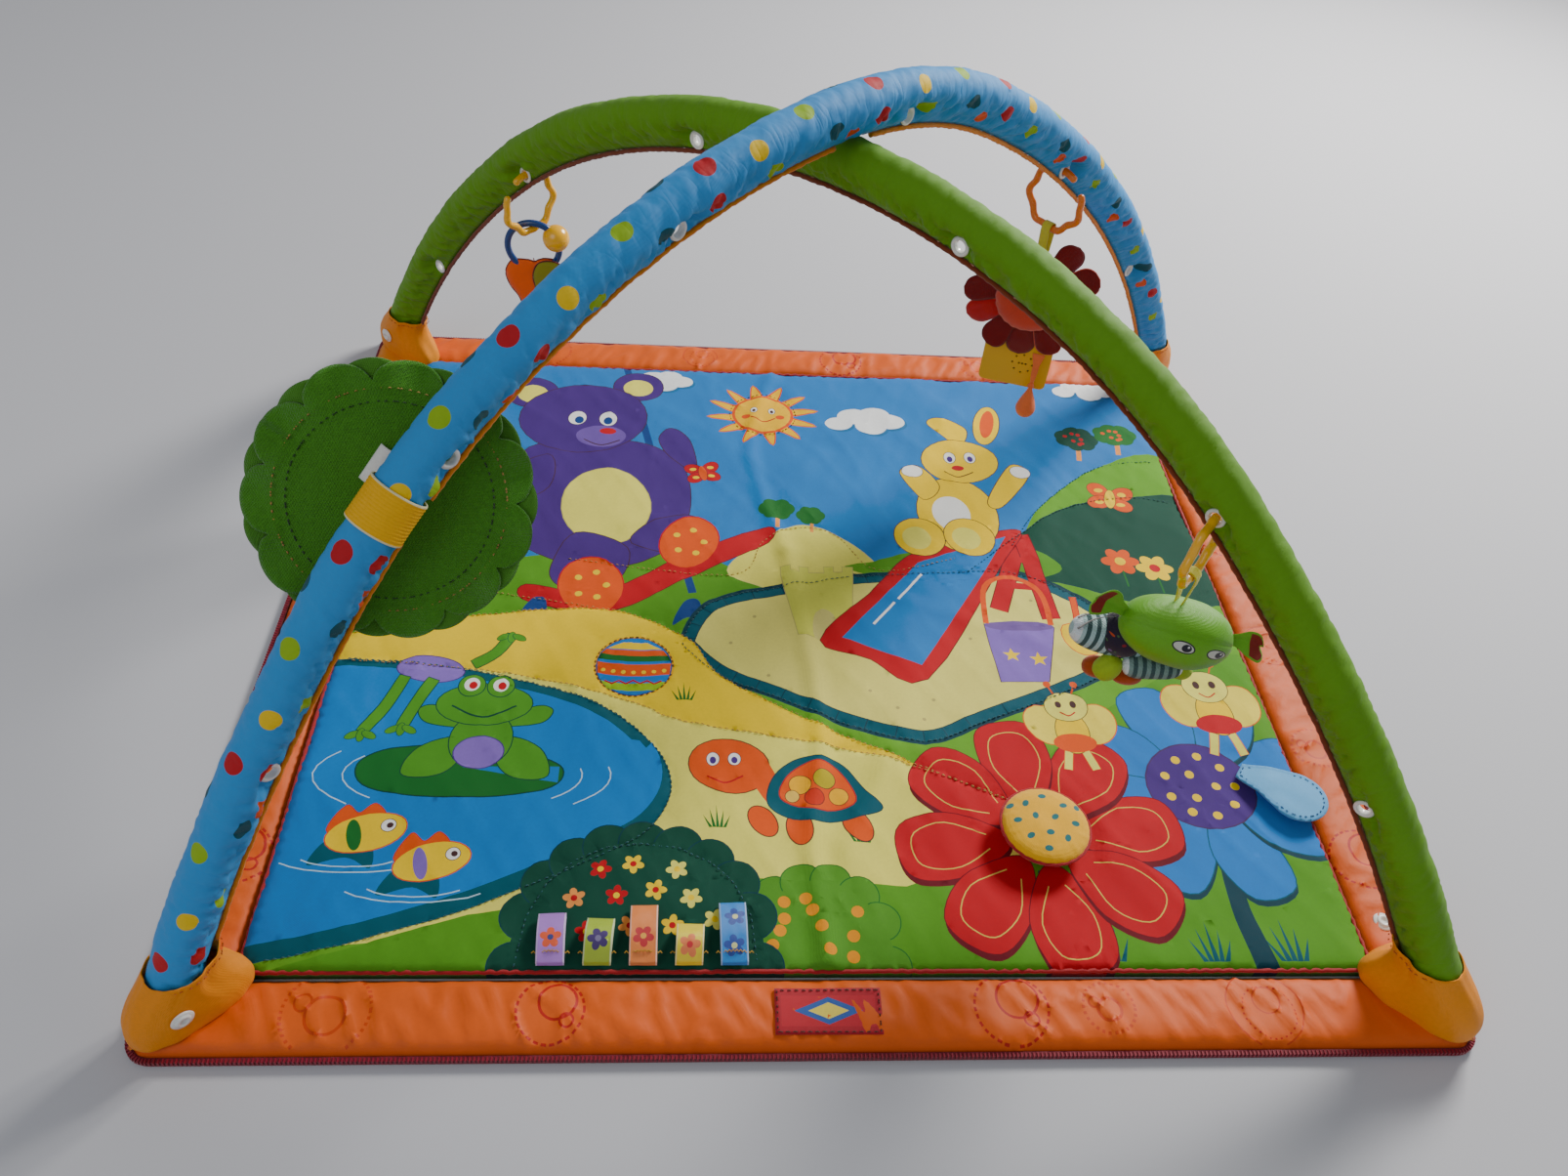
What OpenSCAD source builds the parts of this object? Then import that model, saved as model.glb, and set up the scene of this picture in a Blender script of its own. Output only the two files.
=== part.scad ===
// Activity play gym: a quilted mat, two crossed padded arches and three hanging toys.
// Origin at the centre of the mat's underside, +X to the right, +Y to the back, +Z up.

/* [Mat] */
// Width of the mat over its border
mat_w = 850; // [780:5:950]
// Depth of the mat over its border
mat_d = 780; // [720:5:880]
// Width of the border strip
border_w = 54; // [48:1:60]
// Thickness of the quilted panel
panel_t = 12; // [10:1:16]
// Thickness of the border
border_t = 10; // [8:1:12]

/* [Arches] */
// Height of the green arch's rod at the crown
green_apex = 400; // [380:5:420]
// Height of the blue arch's rod at the crown
blue_apex = 434; // [420:2:460]
// Distance of each foot from both edges of its mat corner
foot_inset = 21.5; // [20:0.5:24]
// Radius of the padded sleeve round the rod
sleeve_r = 15; // [14:0.5:16]
// Distance from the rod to the middle of the sleeve's seam edge
seam_reach = 17; // [16:0.5:18]
// Outer radius of the flexible rod
rod_r = 5.5; // [5:0.25:6]

/* [Eyelets and links] */
// Radius of the hole in an eyelet
eyelet_r = 3.5; // [3:0.25:4]
// Distance from the rod to an eyelet's centre
eyelet_drop = 13.5; // [13:0.25:14]
// Radius of a link's ring, to the middle of its wire
link_ring_r = 24; // [22:0.5:26]
// Radius of a link's wire
link_wire_r = 2.25; // [2:0.25:2.5]

/* [Flower pad] */
// Radius of the flower pad over its petals
pad_r = 79; // [70:1:84]
// Turn of the flower pad about the blue sleeve, from straight inwards
pad_swivel = 46; // [36:1:60]
// Place of the elastic strap along the blue front leg, as an angle from the crown
strap_angle = 41.5; // [41:0.5:43]

/* [Mat details] */
// Radius of the puffed flower cushion
cushion_r = 44; // [36:1:50]
// Height of the puffed flower cushion
cushion_h = 22; // [16:1:26]
// Width of a ribbon tag
ribbon_w = 17; // [12:1:20]

/* [Hidden] */
$fn = 48;
e = 0.01;
fit_gap = 0.3; // clearance between soft pieces on different bodies
tuck = 0.05; // how far one solid is let into the next where they join
hairline = 0.01; // angle left between two arcs under their join band

// Arches: each half is a shoulder arc and a straighter leg arc, named by their end angles
foot_z = 16;
foot_x = mat_w / 2 - foot_inset;
foot_y = mat_d / 2 - foot_inset;
foot_reach = norm([foot_x, foot_y]);
arch_turn = atan2(foot_y, foot_x);
// A leg is [apex, shoulder angle, foot angle, direction of the foot, eyelet angles]
green_front = [green_apex, 37.5, 58.5, -arch_turn, [11, 38, 49.5]];
green_back = [green_apex, 40, 62.5, 180 - arch_turn, [14.5, 38, 52]];
blue_front = [blue_apex, 49.5, 64, 180 + arch_turn, [16.5, 37, 54.5]];
blue_back = [blue_apex, 26, 62, arch_turn, [8.5, 34.5, 48.5]];
toy_eyelet = 1; // the toys hang from the middle eyelet of their leg

rod_bore_r = rod_r - 1.8;
sleeve_bore_r = rod_r + 0.2;
seam_r = 3;
cap_r = 7;
cap_len = 14;
bead_r = 1.8;
bead_reach = seam_reach + seam_r + 1.9;
web = 3; // thickness of the flattened sleeve at an eyelet
flange_r = 6.5;
flange_t = 1.2;
pinch_r = flange_r + 0.7;
spigot_len = 36;
cross_clear = sleeve_r + 0.6;
crossing_half = 17; // half the length of blue piping left out over the green crown

// Pockets: upright pouches sewn on the mat corners, open at the top
pocket_h = 50;
pocket_wall = 1.6;
pocket_near = foot_reach - 54;
pocket_far = foot_reach + 19;
pocket_half_w = sleeve_r + 1;
patch_w = 80;
patch_t = 1.2;

// Mat seams
piping_w = 3;
piping_t = 12;
zip_w = 3;
zip_t = 5;
panel_w = mat_w - 2 * border_w;
panel_d = mat_d - 2 * border_w;
corner_r = 14;

// Flower pad
strap_w = 26;
strap_r = sleeve_r + 1.9;
strap_t = 1.5;
pad_drop = 26.5;
felt_t = 2.5;
lobes = 12;
lobe_r = 17;
mirror_r = 36;
rim_r = 44;

// Toys
loop_w = 8;
loop_r = 4.8;
loop_t = 1.1;
loop_room = 6.6; // half the gap between petals that the ribbon loop passes through
ring_r = 21.5;
ring_wire_r = 2.5;
ring_lift = 5.75;
mane_r = 46;
mane_petal_r = 12;
core_r = 31;
core_drop = 64;
case_w = 60;
case_h = 46;
case_t = 18;
case_wall = 1.6;

// ---- arch geometry ----

// Radii of the shoulder arc and the leg arc that join the crown to the foot
function arc_radii(leg) =
    let (s = leg[1], f = leg[2], rise = leg[0] - foot_z)
    let (a = sin(s), b = sin(f) - sin(s), c = 1 - cos(s), d = cos(s) - cos(f))
    let (det = a * d - b * c)
    [(foot_reach * d - b * rise) / det, (a * rise - c * foot_reach) / det];

// Radius and centre [distance out, height] of the arc that holds a given angle
function arc_at(leg, angle) =
    let (r = arc_radii(leg), s = leg[1])
    angle <= s
        ? [r[0], [0, leg[0] - r[0]]]
        : [r[1], [(r[0] - r[1]) * sin(s), leg[0] - r[0] + (r[0] - r[1]) * cos(s)]];

// Point [distance out, height] on a leg, offset outwards from the rod
function leg_point(leg, angle, offset) =
    let (arc = arc_at(leg, angle))
    arc[1] + (arc[0] + offset) * [sin(angle), cos(angle)];

// A row of the leg from one angle to another, swept from a profile whose -x faces inwards
module sweep_arc(leg, from, to) {
    arc = arc_at(leg, (from + to) / 2);
    rotate([0, 0, leg[3]])
        rotate([90, 0, 0])
            translate([arc[1][0], arc[1][1], 0])
                rotate(90 - to)
                    rotate_extrude(angle = to - from, $fn = 360)
                        translate([arc[0], 0]) children();
}

// The two arcs of a leg, from the crown down to an angle on the leg arc
module sweep_leg(leg, to) {
    sweep_arc(leg, hairline, leg[1] - hairline) children();
    sweep_arc(leg, leg[1] + hairline, to) children();
}

// A short band that joins two arcs, cut from a slightly grown profile
module join_band(leg, angle) {
    on_leg(leg, angle) rotate([90, 0, 0]) linear_extrude(3, center = true) children();
}

// Local frame on a leg: x outwards, y along the leg to the crown, z across the arch
module on_leg(leg, angle) {
    arc = arc_at(leg, angle);
    rotate([0, 0, leg[3]])
        rotate([90, 0, 0])
            translate([arc[1][0], arc[1][1], 0])
                rotate(90 - angle)
                    translate([arc[0], 0, 0]) children();
}

// Angle on the leg arc that stands a given length short of the foot
function short_of_foot(leg, len) = leg[2] - len / arc_radii(leg)[1] * 180 / PI;

// Drop outline: a circle drawn out to a smaller circle at -x
module drop_outline(r, tip_r, reach) {
    lean = acos((r - tip_r) / reach);
    circle(r);
    translate([-reach, 0]) circle(tip_r);
    side = [-cos(lean), sin(lean)];
    under = [-cos(lean), -sin(lean)];
    polygon([
        (r - tuck) * side, [-reach, 0] + (tip_r - tuck) * side,
        [-reach, 0] + (tip_r - tuck) * under, (r - tuck) * under
    ]);
}

module sleeve_profile(grow = 0) {
    difference() {
        drop_outline(sleeve_r + grow, seam_r + grow, seam_reach);
        circle(sleeve_bore_r - grow);
    }
}

module rod_profile(grow = 0) {
    difference() {
        circle(rod_r + grow);
        circle(rod_bore_r - grow);
    }
}

// Space that the flattened sleeve leaves at an eyelet, and the eyelet's own barrel
module pinches(leg) {
    for (angle = leg[4]) on_leg(leg, angle) translate([-eyelet_drop, 0, 0]) {
        for (side = [-1, 1])
            translate([0, 0, side * (web / 2 + sleeve_r / 2)])
                cylinder(r = pinch_r, h = sleeve_r, center = true);
        cylinder(r = eyelet_r + 1, h = web + 2, center = true);
    }
}

module eyelets(leg) {
    for (angle = leg[4]) on_leg(leg, angle) translate([-eyelet_drop, 0, 0])
        difference() {
            union() {
                cylinder(r = eyelet_r + 1, h = web, center = true);
                for (side = [-1, 1])
                    translate([0, 0, side * (web + flange_t) / 2])
                        cylinder(r = flange_r, h = flange_t, center = true);
            }
            cylinder(r = eyelet_r, h = web + 4 * flange_t, center = true);
        }
}

module rod(leg) {
    sweep_leg(leg, short_of_foot(leg, 3)) rod_profile();
    join_band(leg, leg[1]) rod_profile(tuck);
}

// Inner pin that plugs the two halves of a rod together at the crown
module spigot(leg) {
    on_leg(leg, 0) rotate([90, 0, 0]) cylinder(r = rod_bore_r - 0.8, h = spigot_len, center = true);
}

module foot_cap(leg) {
    on_leg(leg, leg[2]) rotate([-90, 0, 0])
        difference() {
            cylinder(r = cap_r, h = cap_len);
            translate([0, 0, 2.5]) cylinder(r = rod_r + 0.15, h = cap_len);
        }
}

module sleeve(leg, other) {
    for (half = [leg, other]) {
        sweep_leg(half, short_of_foot(half, cap_len + 1)) sleeve_profile();
        join_band(half, half[1]) sleeve_profile(tuck);
    }
    join_band(leg, 0) sleeve_profile(tuck);
}

module bead_profile(grow = 0) { translate([-bead_reach, 0]) circle(bead_r + grow); }

// Piping from an angle on the shoulder down to the foot
module bead(leg, from) {
    sweep_arc(leg, from, leg[1] - hairline) bead_profile();
    join_band(leg, leg[1]) bead_profile(tuck);
    sweep_arc(leg, leg[1] + hairline, short_of_foot(leg, pocket_h + 22)) bead_profile();
}

// Angle that a length takes up on a leg's shoulder arc
function shoulder_angle(leg, len) = len / arc_radii(leg)[0] * 180 / PI;

// Room round the green arch's crown, which the blue arch's seam makes way for
module crossing_room() {
    translate([0, 0, green_apex])
        rotate([0, 0, green_back[3]])
            rotate([0, 90, 0]) cylinder(r = cross_clear, h = 70, center = true);
}

// The seam edge folds flat under the elastic strap
module strap_room() {
    half_angle = shoulder_angle(blue_front, strap_w / 2 + 2);
    sweep_arc(blue_front, strap_angle - half_angle, strap_angle + half_angle)
        difference() {
            circle(bead_reach + 4);
            circle(sleeve_r - e);
        }
}

// ---- mat ----

module rounded_rect(w, d, r) {
    offset_w = w / 2 - r;
    offset_d = d / 2 - r;
    square([w - 2 * r, d], center = true);
    square([w, d - 2 * r], center = true);
    for (x = [-1, 1], y = [-1, 1]) translate([x * offset_w, y * offset_d]) circle(r);
}

module rect_ring(w, d, r, width, height, z) {
    translate([0, 0, z]) linear_extrude(height) difference() {
        rounded_rect(w, d, r);
        square([w - 2 * width, d - 2 * width], center = true);
    }
}

module play_panel() {
    color("mediumseagreen") translate([0, 0, panel_t / 2])
        cube([panel_w - piping_w, panel_d - piping_w, panel_t], center = true);
}

module border_strip(along_x, side) {
    inner_w = panel_w + piping_w;
    inner_d = panel_d + piping_w;
    outer_w = mat_w - 2 * zip_w;
    outer_d = mat_d - 2 * zip_w;
    color("darkorange") linear_extrude(border_t)
        intersection() {
            rounded_rect(outer_w, outer_d, corner_r);
            if (along_x)
                translate([0, side * (inner_d + outer_d) / 4])
                    square([outer_w, (outer_d - inner_d) / 2], center = true);
            else
                translate([side * (inner_w + outer_w) / 4, 0])
                    square([(outer_w - inner_w) / 2, inner_d], center = true);
        }
}

module border_front() { border_strip(true, -1); }
module border_back() { border_strip(true, 1); }
module border_left() { border_strip(false, -1); }
module border_right() { border_strip(false, 1); }

module panel_piping() {
    color("firebrick") translate([0, 0, panel_t + 1.5 - piping_t]) linear_extrude(piping_t)
        difference() {
            square([panel_w + piping_w, panel_d + piping_w], center = true);
            square([panel_w - piping_w, panel_d - piping_w], center = true);
        }
}

module edge_zip() {
    color("darkred") linear_extrude(zip_t) difference() {
        rounded_rect(mat_w, mat_d, corner_r + zip_w);
        rounded_rect(mat_w - 2 * zip_w, mat_d - 2 * zip_w, corner_r);
    }
}

// Press studs: one on the border and one on the wall of each left pocket
module stud() {
    rotate_extrude() union() {
        square([7, 1.2]);
        translate([0, 1.2]) square([4.5, 1.4]);
    }
}

module snap_buttons() {
    color("white") {
        translate([392, -300, border_t]) stud();
        for (leg = [blue_front, green_back]) rotate([0, 0, leg[3]])
            translate([pocket_far - 28, pocket_half_w + pocket_wall, 32]) rotate([-90, 0, 0]) stud();
    }
}

module maker_label() {
    color("crimson") translate([0, -mat_d / 2 + border_w / 2 - 2, border_t])
        linear_extrude(1) square([68, 30], center = true);
}

// Five folded ribbon loops, sewn into the front seam and lying on the panel
ribbon_first_x = -177;
ribbon_pitch = 29.5;
ribbon_lengths = [34, 30, 40, 26, 42];

module ribbon_tags() {
    color("yellowgreen") for (i = [0 : len(ribbon_lengths) - 1])
        translate([ribbon_first_x + i * ribbon_pitch, -panel_d / 2 + piping_w / 2 + 0.5, panel_t])
            linear_extrude(2.4) translate([-ribbon_w / 2, 0])
                square([ribbon_w, ribbon_lengths[i]]);
}

module pocket_outline(grow) {
    r = pocket_half_w + grow;
    translate([pocket_near + pocket_half_w, 0]) circle(r);
    translate([pocket_far - pocket_half_w, 0]) circle(r);
    translate([pocket_near + pocket_half_w, -r])
        square([pocket_far - pocket_near - 2 * pocket_half_w, 2 * r]);
}

// A pouch for one foot, with its patch sewn on the border's corner
module pocket(leg) {
    side_x = sign(cos(leg[3]));
    side_y = sign(sin(leg[3]));
    color("goldenrod") difference() {
        union() {
            translate([0, 0, border_t]) rotate([0, 0, leg[3]])
                linear_extrude(pocket_h) pocket_outline(pocket_wall);
            translate([0, 0, border_t]) linear_extrude(patch_t) intersection() {
                rounded_rect(mat_w - 2 * zip_w, mat_d - 2 * zip_w, corner_r);
                translate([side_x * (mat_w / 2 - patch_w / 2), side_y * (mat_d / 2 - patch_w / 2)])
                    square(patch_w, center = true);
                difference() {
                    square([mat_w, mat_d], center = true);
                    square([panel_w + piping_w, panel_d + piping_w], center = true);
                }
            }
        }
        translate([0, 0, border_t + patch_t]) rotate([0, 0, leg[3]])
            linear_extrude(pocket_h) pocket_outline(0);
        // the inner end stands over the panel and its piping
        translate([0, 0, border_t - e])
            linear_extrude(panel_t + 1.5 + fit_gap - border_t)
                square([panel_w + piping_w, panel_d + piping_w], center = true);
    }
}

module pocket_front_left() { pocket(blue_front); }
module pocket_front_right() { pocket(green_front); }
module pocket_back_left() { pocket(green_back); }
module pocket_back_right() { pocket(blue_back); }

// Puffed centre of the printed flower, over a squeaker
cushion_place = [162, -234];
squeaker_r = 14;
squeaker_h = 8;
cushion_travel = 6;

module flower_cushion() {
    thick = cushion_h - cushion_travel;
    belly = cushion_r - thick / 2;
    color("gold") translate([cushion_place[0], cushion_place[1], panel_t + cushion_travel + fit_gap])
        difference() {
            rotate_extrude() difference() {
                union() {
                    square([belly, thick]);
                    translate([belly, thick / 2]) circle(thick / 2);
                }
                translate([-cushion_r, -1]) square([cushion_r, thick + 2]);
            }
            translate([0, 0, -e]) cylinder(r = squeaker_r + 1, h = squeaker_h + 1);
        }
}

module cushion_squeaker() {
    color("whitesmoke") translate([cushion_place[0], cushion_place[1], panel_t])
        cylinder(r = squeaker_r, h = squeaker_h);
}

// Loose petal over the right border, hinged along its root
flap_root = [326, -176];
flap_turn = -38;
flap_len = 66;
flap_w = 44;
flap_t = 2.4;
flap_z = panel_t + 2;

// Points round the far end of a petal, at a distance along x
function round_end(at, r) = [for (a = [-105 : 7.5 : 105]) [at + r * cos(a), r * sin(a)]];

module petal_flap() {
    color("steelblue") translate([flap_root[0], flap_root[1], flap_z]) rotate(flap_turn)
        linear_extrude(flap_t) polygon(concat([[0, 7], [0, -7]], round_end(flap_len - flap_w / 2, flap_w / 2)));
}

// ---- green arch ----

module green_rod_front() { color("dimgray") rod(green_front); }
module green_rod_back() { color("dimgray") rod(green_back); }
module green_spigot() { color("silver") spigot(green_front); }
module green_caps() {
    color("black") {
        foot_cap(green_front);
        foot_cap(green_back);
    }
}

module green_sleeve() {
    color("yellowgreen") difference() {
        sleeve(green_front, green_back);
        pinches(green_front);
        pinches(green_back);
    }
}

module green_piping() {
    color("saddlebrown") {
        bead(green_front, hairline);
        bead(green_back, hairline);
        join_band(green_front, 0) bead_profile(tuck);
    }
}

module green_eyelets() {
    color("white") {
        eyelets(green_front);
        eyelets(green_back);
    }
}

// ---- blue arch ----

module blue_rod_front() { color("dimgray") rod(blue_front); }
module blue_rod_back() { color("dimgray") rod(blue_back); }
module blue_spigot() { color("silver") spigot(blue_front); }
module blue_caps() {
    color("black") {
        foot_cap(blue_front);
        foot_cap(blue_back);
    }
}

module blue_sleeve() {
    color("deepskyblue") difference() {
        sleeve(blue_front, blue_back);
        pinches(blue_front);
        pinches(blue_back);
        crossing_room();
        strap_room();
    }
}

module blue_piping() {
    half_strap = shoulder_angle(blue_front, strap_w / 2 + 2);
    color("orange") {
        sweep_arc(blue_front, shoulder_angle(blue_front, crossing_half), strap_angle - half_strap)
            bead_profile();
        bead(blue_front, strap_angle + half_strap);
        bead(blue_back, shoulder_angle(blue_back, crossing_half));
    }
}

module blue_eyelets() {
    color("white") {
        eyelets(blue_front);
        eyelets(blue_back);
    }
}

// Press stud on the blue seam, beside the crossing
snap_angle = 3.6;
module crown_snap() {
    color("white") on_leg(blue_back, snap_angle)
        translate([-eyelet_drop, 0, -sleeve_r + 3]) cylinder(r = 5, h = 1.6);
}

// ---- flower pad on the blue front leg ----

module strap_outline(grow) {
    rotate(-pad_swivel) drop_outline(strap_r - strap_t + grow, 1 + grow, pad_drop - 2.5);
}

module pad_strap() {
    half_angle = shoulder_angle(blue_front, strap_w / 2);
    color("gold") sweep_arc(blue_front, strap_angle - half_angle, strap_angle + half_angle)
        difference() {
            strap_outline(strap_t);
            strap_outline(0);
        }
}

// Local frame of the pad: z runs from the sleeve's axis through the pad
module on_pad() {
    on_leg(blue_front, strap_angle) rotate([0, pad_swivel - 90, 0]) children();
}

module scallops(r, turn) {
    for (i = [0 : lobes - 1]) rotate(turn + i * 360 / lobes) translate([r - lobe_r, 0]) circle(lobe_r);
    circle(r - lobe_r);
}

module pad_felt_back() {
    color("darkgreen") on_pad() translate([0, 0, pad_drop]) linear_extrude(felt_t) scallops(pad_r, 0);
}

module pad_felt_petals() {
    color("forestgreen") on_pad() translate([0, 0, pad_drop + felt_t])
        linear_extrude(felt_t) scallops(pad_r, 180 / lobes);
}

module pad_rim() {
    color("gold") on_pad() translate([0, 0, pad_drop + 2 * felt_t])
        linear_extrude(7) difference() {
            circle(rim_r);
            circle(mirror_r);
        }
}

module pad_mirror() {
    color("silver") on_pad() translate([0, 0, pad_drop + 2 * felt_t]) cylinder(r = mirror_r, h = 2);
}

// ---- links and toys ----

// Frame of a hanging toy: origin in the eyelet, x out along the arch, y across it
module hang(leg) {
    p = leg_point(leg, leg[4][toy_eyelet], -eyelet_drop);
    rotate([0, 0, leg[3]]) translate([p[0], 0, p[1]]) children();
}

// Open ring through the eyelet, with its gap on the chosen side of the top
link_gap_from = 28;
link_gap_to = 66;
module link(leg, gap_side) {
    hang(leg) translate([0, 0, -link_ring_r])
        mirror([0, gap_side < 0 ? 1 : 0, 0])
            rotate([0, 90, 0]) {
                rotate(180 + link_gap_to)
                    rotate_extrude(angle = 360 - link_gap_to + link_gap_from, $fn = 120)
                        translate([link_ring_r, 0]) circle(link_wire_r);
                for (a = [180 + link_gap_from, 180 + link_gap_to])
                    rotate(a) translate([link_ring_r, 0, 0]) sphere(link_wire_r + 0.5);
            }
}

// Frame of a toy's body: origin in the bottom of its link
module under_link(leg) {
    hang(leg) translate([0, 0, -2 * link_ring_r]) children();
}

// Flat ribbon loop round the bottom of a link
module ribbon_loop(len) {
    rotate([90, 0, 0]) translate([0, 0, -loop_w / 2]) linear_extrude(loop_w)
        difference() {
            union() {
                circle(loop_r);
                translate([-loop_r, -len]) square([2 * loop_r, len]);
            }
            circle(loop_r - loop_t);
            translate([-loop_r + loop_t, -len + 1]) square([2 * (loop_r - loop_t), len - 1]);
        }
}

module torus(r, wire) {
    rotate_extrude($fn = 120) translate([r, 0]) circle(wire);
}

// Teether: pieces strung on a blue ring
teether_turn = 40;
module on_ring() {
    under_link(green_back) translate([0, 0, ring_lift - ring_r])
        rotate([0, 0, teether_turn]) rotate([90, 0, 0]) children();
}

module teether_link() { color("gold") link(green_back, 1); }

module teether_ring() { color("navy") on_ring() torus(ring_r, ring_wire_r); }

module ring_room() { torus(ring_r, ring_wire_r + 0.3); }

module teether_leaf() {
    leaf_t = 7;
    color("orangered") on_ring() difference() {
        translate([0, 0, -leaf_t / 2]) linear_extrude(leaf_t) {
            translate([12, -26]) circle(14);
            translate([-9, -25]) circle(15);
            polygon([[-23, -31], [-13, -88], [11, -88], [25, -31]]);
        }
        ring_room();
    }
}

module teether_petal() {
    color("olive") on_ring() difference() {
        translate([0, 0, -7.2]) linear_extrude(3.4) {
            translate([-13, -24]) circle(15);
            polygon([[-27, -29], [-16, -66], [-5, -66], [1, -29]]);
        }
        ring_room();
    }
}

module teether_ball() {
    color("yellow") on_ring() difference() {
        rotate([0, 0, 155]) translate([ring_r, 0, 0]) sphere(10.5);
        ring_room();
        translate([-13, -24, -7.6]) cylinder(r = 15.4, h = 4.2);
        translate([0, 0, -3.9]) linear_extrude(7.8) {
            translate([-9, -25]) circle(15.4);
            translate([12, -26]) circle(14.4);
        }
    }
}

module teether_drop() {
    drop_t = 5;
    color("plum") on_ring() translate([0, -88, -drop_t / 2]) linear_extrude(drop_t)
        rotate(-90) polygon(concat([[0, 5], [0, -5]], round_end(22, 9)));
}

// Petal toy: a stuffed flower with a music box below it
petal_toy_turn = -60;
module on_petal_toy() {
    under_link(blue_back) rotate([0, 0, petal_toy_turn]) translate([0, 0, -core_drop])
        rotate([90, 0, 0]) children();
}

module petal_toy_link() { color("orange") link(blue_back, -1); }

module petal_toy_loop() {
    color("yellow") under_link(blue_back) ribbon_loop(core_drop - core_r - 3);
}

module petal_toy_core() {
    color("tomato") on_petal_toy() rotate_extrude() difference() {
        union() {
            translate([0, -13]) square([core_r - 9, 26]);
            for (side = [-1, 1]) translate([core_r - 9, side * 4]) circle(9);
            translate([core_r - 9, -4]) square([9, 8]);
        }
        translate([-60, -60]) square([60, 120]);
        translate([core_r - 6, -4.2]) square([7, 8.4]);
    }
}

mane_count = 11;
mane_pitch = 30;
module mane_outline(r, petal) {
    difference() {
        union() {
            for (i = [0 : mane_count - 1]) rotate(90 + (i + 1) * mane_pitch)
                translate([r, 0]) circle(petal);
            circle(r - 3);
        }
        circle(core_r - 5.9);
        translate([-loop_room, 0]) square([2 * loop_room, 70]);
    }
}

module petal_toy_mane() {
    color("darkred") on_petal_toy() linear_extrude(4) mane_outline(mane_r, mane_petal_r);
}

module petal_toy_lining() {
    color("plum") on_petal_toy() translate([0, 0, -4]) linear_extrude(4) mane_outline(mane_r - 1, mane_petal_r);
}

// The music box: two half shells with the speaker and the cells between them
case_top = -core_r - 14.5;
case_mid = -13.5;
module in_case(z) {
    on_petal_toy() translate([0, case_top - case_h / 2, case_mid + z]) children();
}

module case_shell() {
    difference() {
        linear_extrude(case_t / 2) rounded_rect(case_w, case_h, 5);
        translate([0, 0, -e]) linear_extrude(case_t / 2 - case_wall + e)
            rounded_rect(case_w - 2 * case_wall, case_h - 2 * case_wall, 4);
    }
}

module music_case_back() {
    color("gold") in_case(0) difference() {
        case_shell();
        translate([6, 0, 0]) {
            for (i = [0 : 7]) rotate(i * 45) translate([9, 0]) cylinder(r = 1, h = case_t);
            for (x = [-3, 0, 3]) translate([x, 0]) cylinder(r = 1, h = case_t);
        }
    }
}

module music_case_front() { color("gold") in_case(0) rotate([0, 180, 0]) case_shell(); }

module music_speaker() {
    color("dimgray") in_case(2.2) translate([6, 0, 0]) cylinder(r = 14, h = 5);
}

module music_cells() {
    color("silver") for (x = [-16, -1, 14]) in_case(-5.6) translate([x, 0, 0]) cylinder(r = 6, h = 5);
}

// Pull cord and its soft drop, which starts the music
pull_travel = 12;
module music_pull() {
    color("coral") on_petal_toy() translate([18, case_top - 4, 5.2]) {
        translate([-3, -32, 0]) cube([6, 32, 1]);
        translate([0, -66, 0]) rotate([-90, 0, 0]) rotate_extrude() {
            translate([0, 9]) difference() {
                circle(9);
                translate([-20, -20]) square([20, 40]);
            }
            polygon([[0, 9], [9, 9], [1.4, 36], [0, 36]]);
        }
    }
}

// Plush toy: a stuffed creature that hangs by its head
plush_turn = 38;
module on_plush() {
    under_link(green_front) rotate([0, 0, plush_turn]) children();
}

// Stuffed shape of revolution about x, with round ends
module pod(len, r) {
    rotate([0, 90, 0]) rotate_extrude() {
        translate([0, -len / 2 + r]) square([r, len - 2 * r]);
        for (side = [-1, 1]) translate([0, side * (len / 2 - r)]) difference() {
            circle(r);
            translate([-2 * r, -2 * r]) square([2 * r, 4 * r]);
        }
    }
}

head_place = [3, -4, -45];
head_tilt = 14;
head_r = 23;
head_len = 78;
body_place = [-14, 12, -66];
body_r = 15;

module in_head() { translate(head_place) rotate([0, head_tilt, 0]) children(); }

module plush_link() { color("gold") link(green_front, 1); }

module plush_loop() {
    color("yellow") under_link(green_front) difference() {
        ribbon_loop(24);
        rotate([0, 0, plush_turn]) in_head() pod(head_len, head_r);
    }
}

module plush_head() { color("green") on_plush() in_head() pod(head_len, head_r); }

module plush_ears() {
    color("darkgreen") on_plush() difference() {
        in_head() for (side = [-1, 1])
            translate([side * (head_len / 2 + 7), 2, 10]) rotate([0, -side * 35, 0]) pod(36, 9);
        in_head() pod(head_len, head_r);
    }
}

module plush_body() {
    color("slategray") on_plush() difference() {
        translate(body_place) rotate([0, 12, 0]) pod(86, body_r);
        in_head() pod(head_len + 1, head_r + 2.4);
    }
}

module plush_paws() {
    color("yellowgreen") on_plush() difference() {
        for (side = [-1, 1]) translate(body_place + [side * 30, -4, -14 - side * 5]) sphere(9);
        translate(body_place) rotate([0, 12, 0]) pod(86, body_r);
    }
}

module plush_scarf() {
    color("darkslateblue") on_plush() intersection() {
        translate(body_place) rotate([0, 12, 0]) pod(60, body_r);
        difference() {
            in_head() pod(head_len + 1, head_r + 2.4);
            in_head() pod(head_len, head_r);
        }
    }
}

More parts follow.
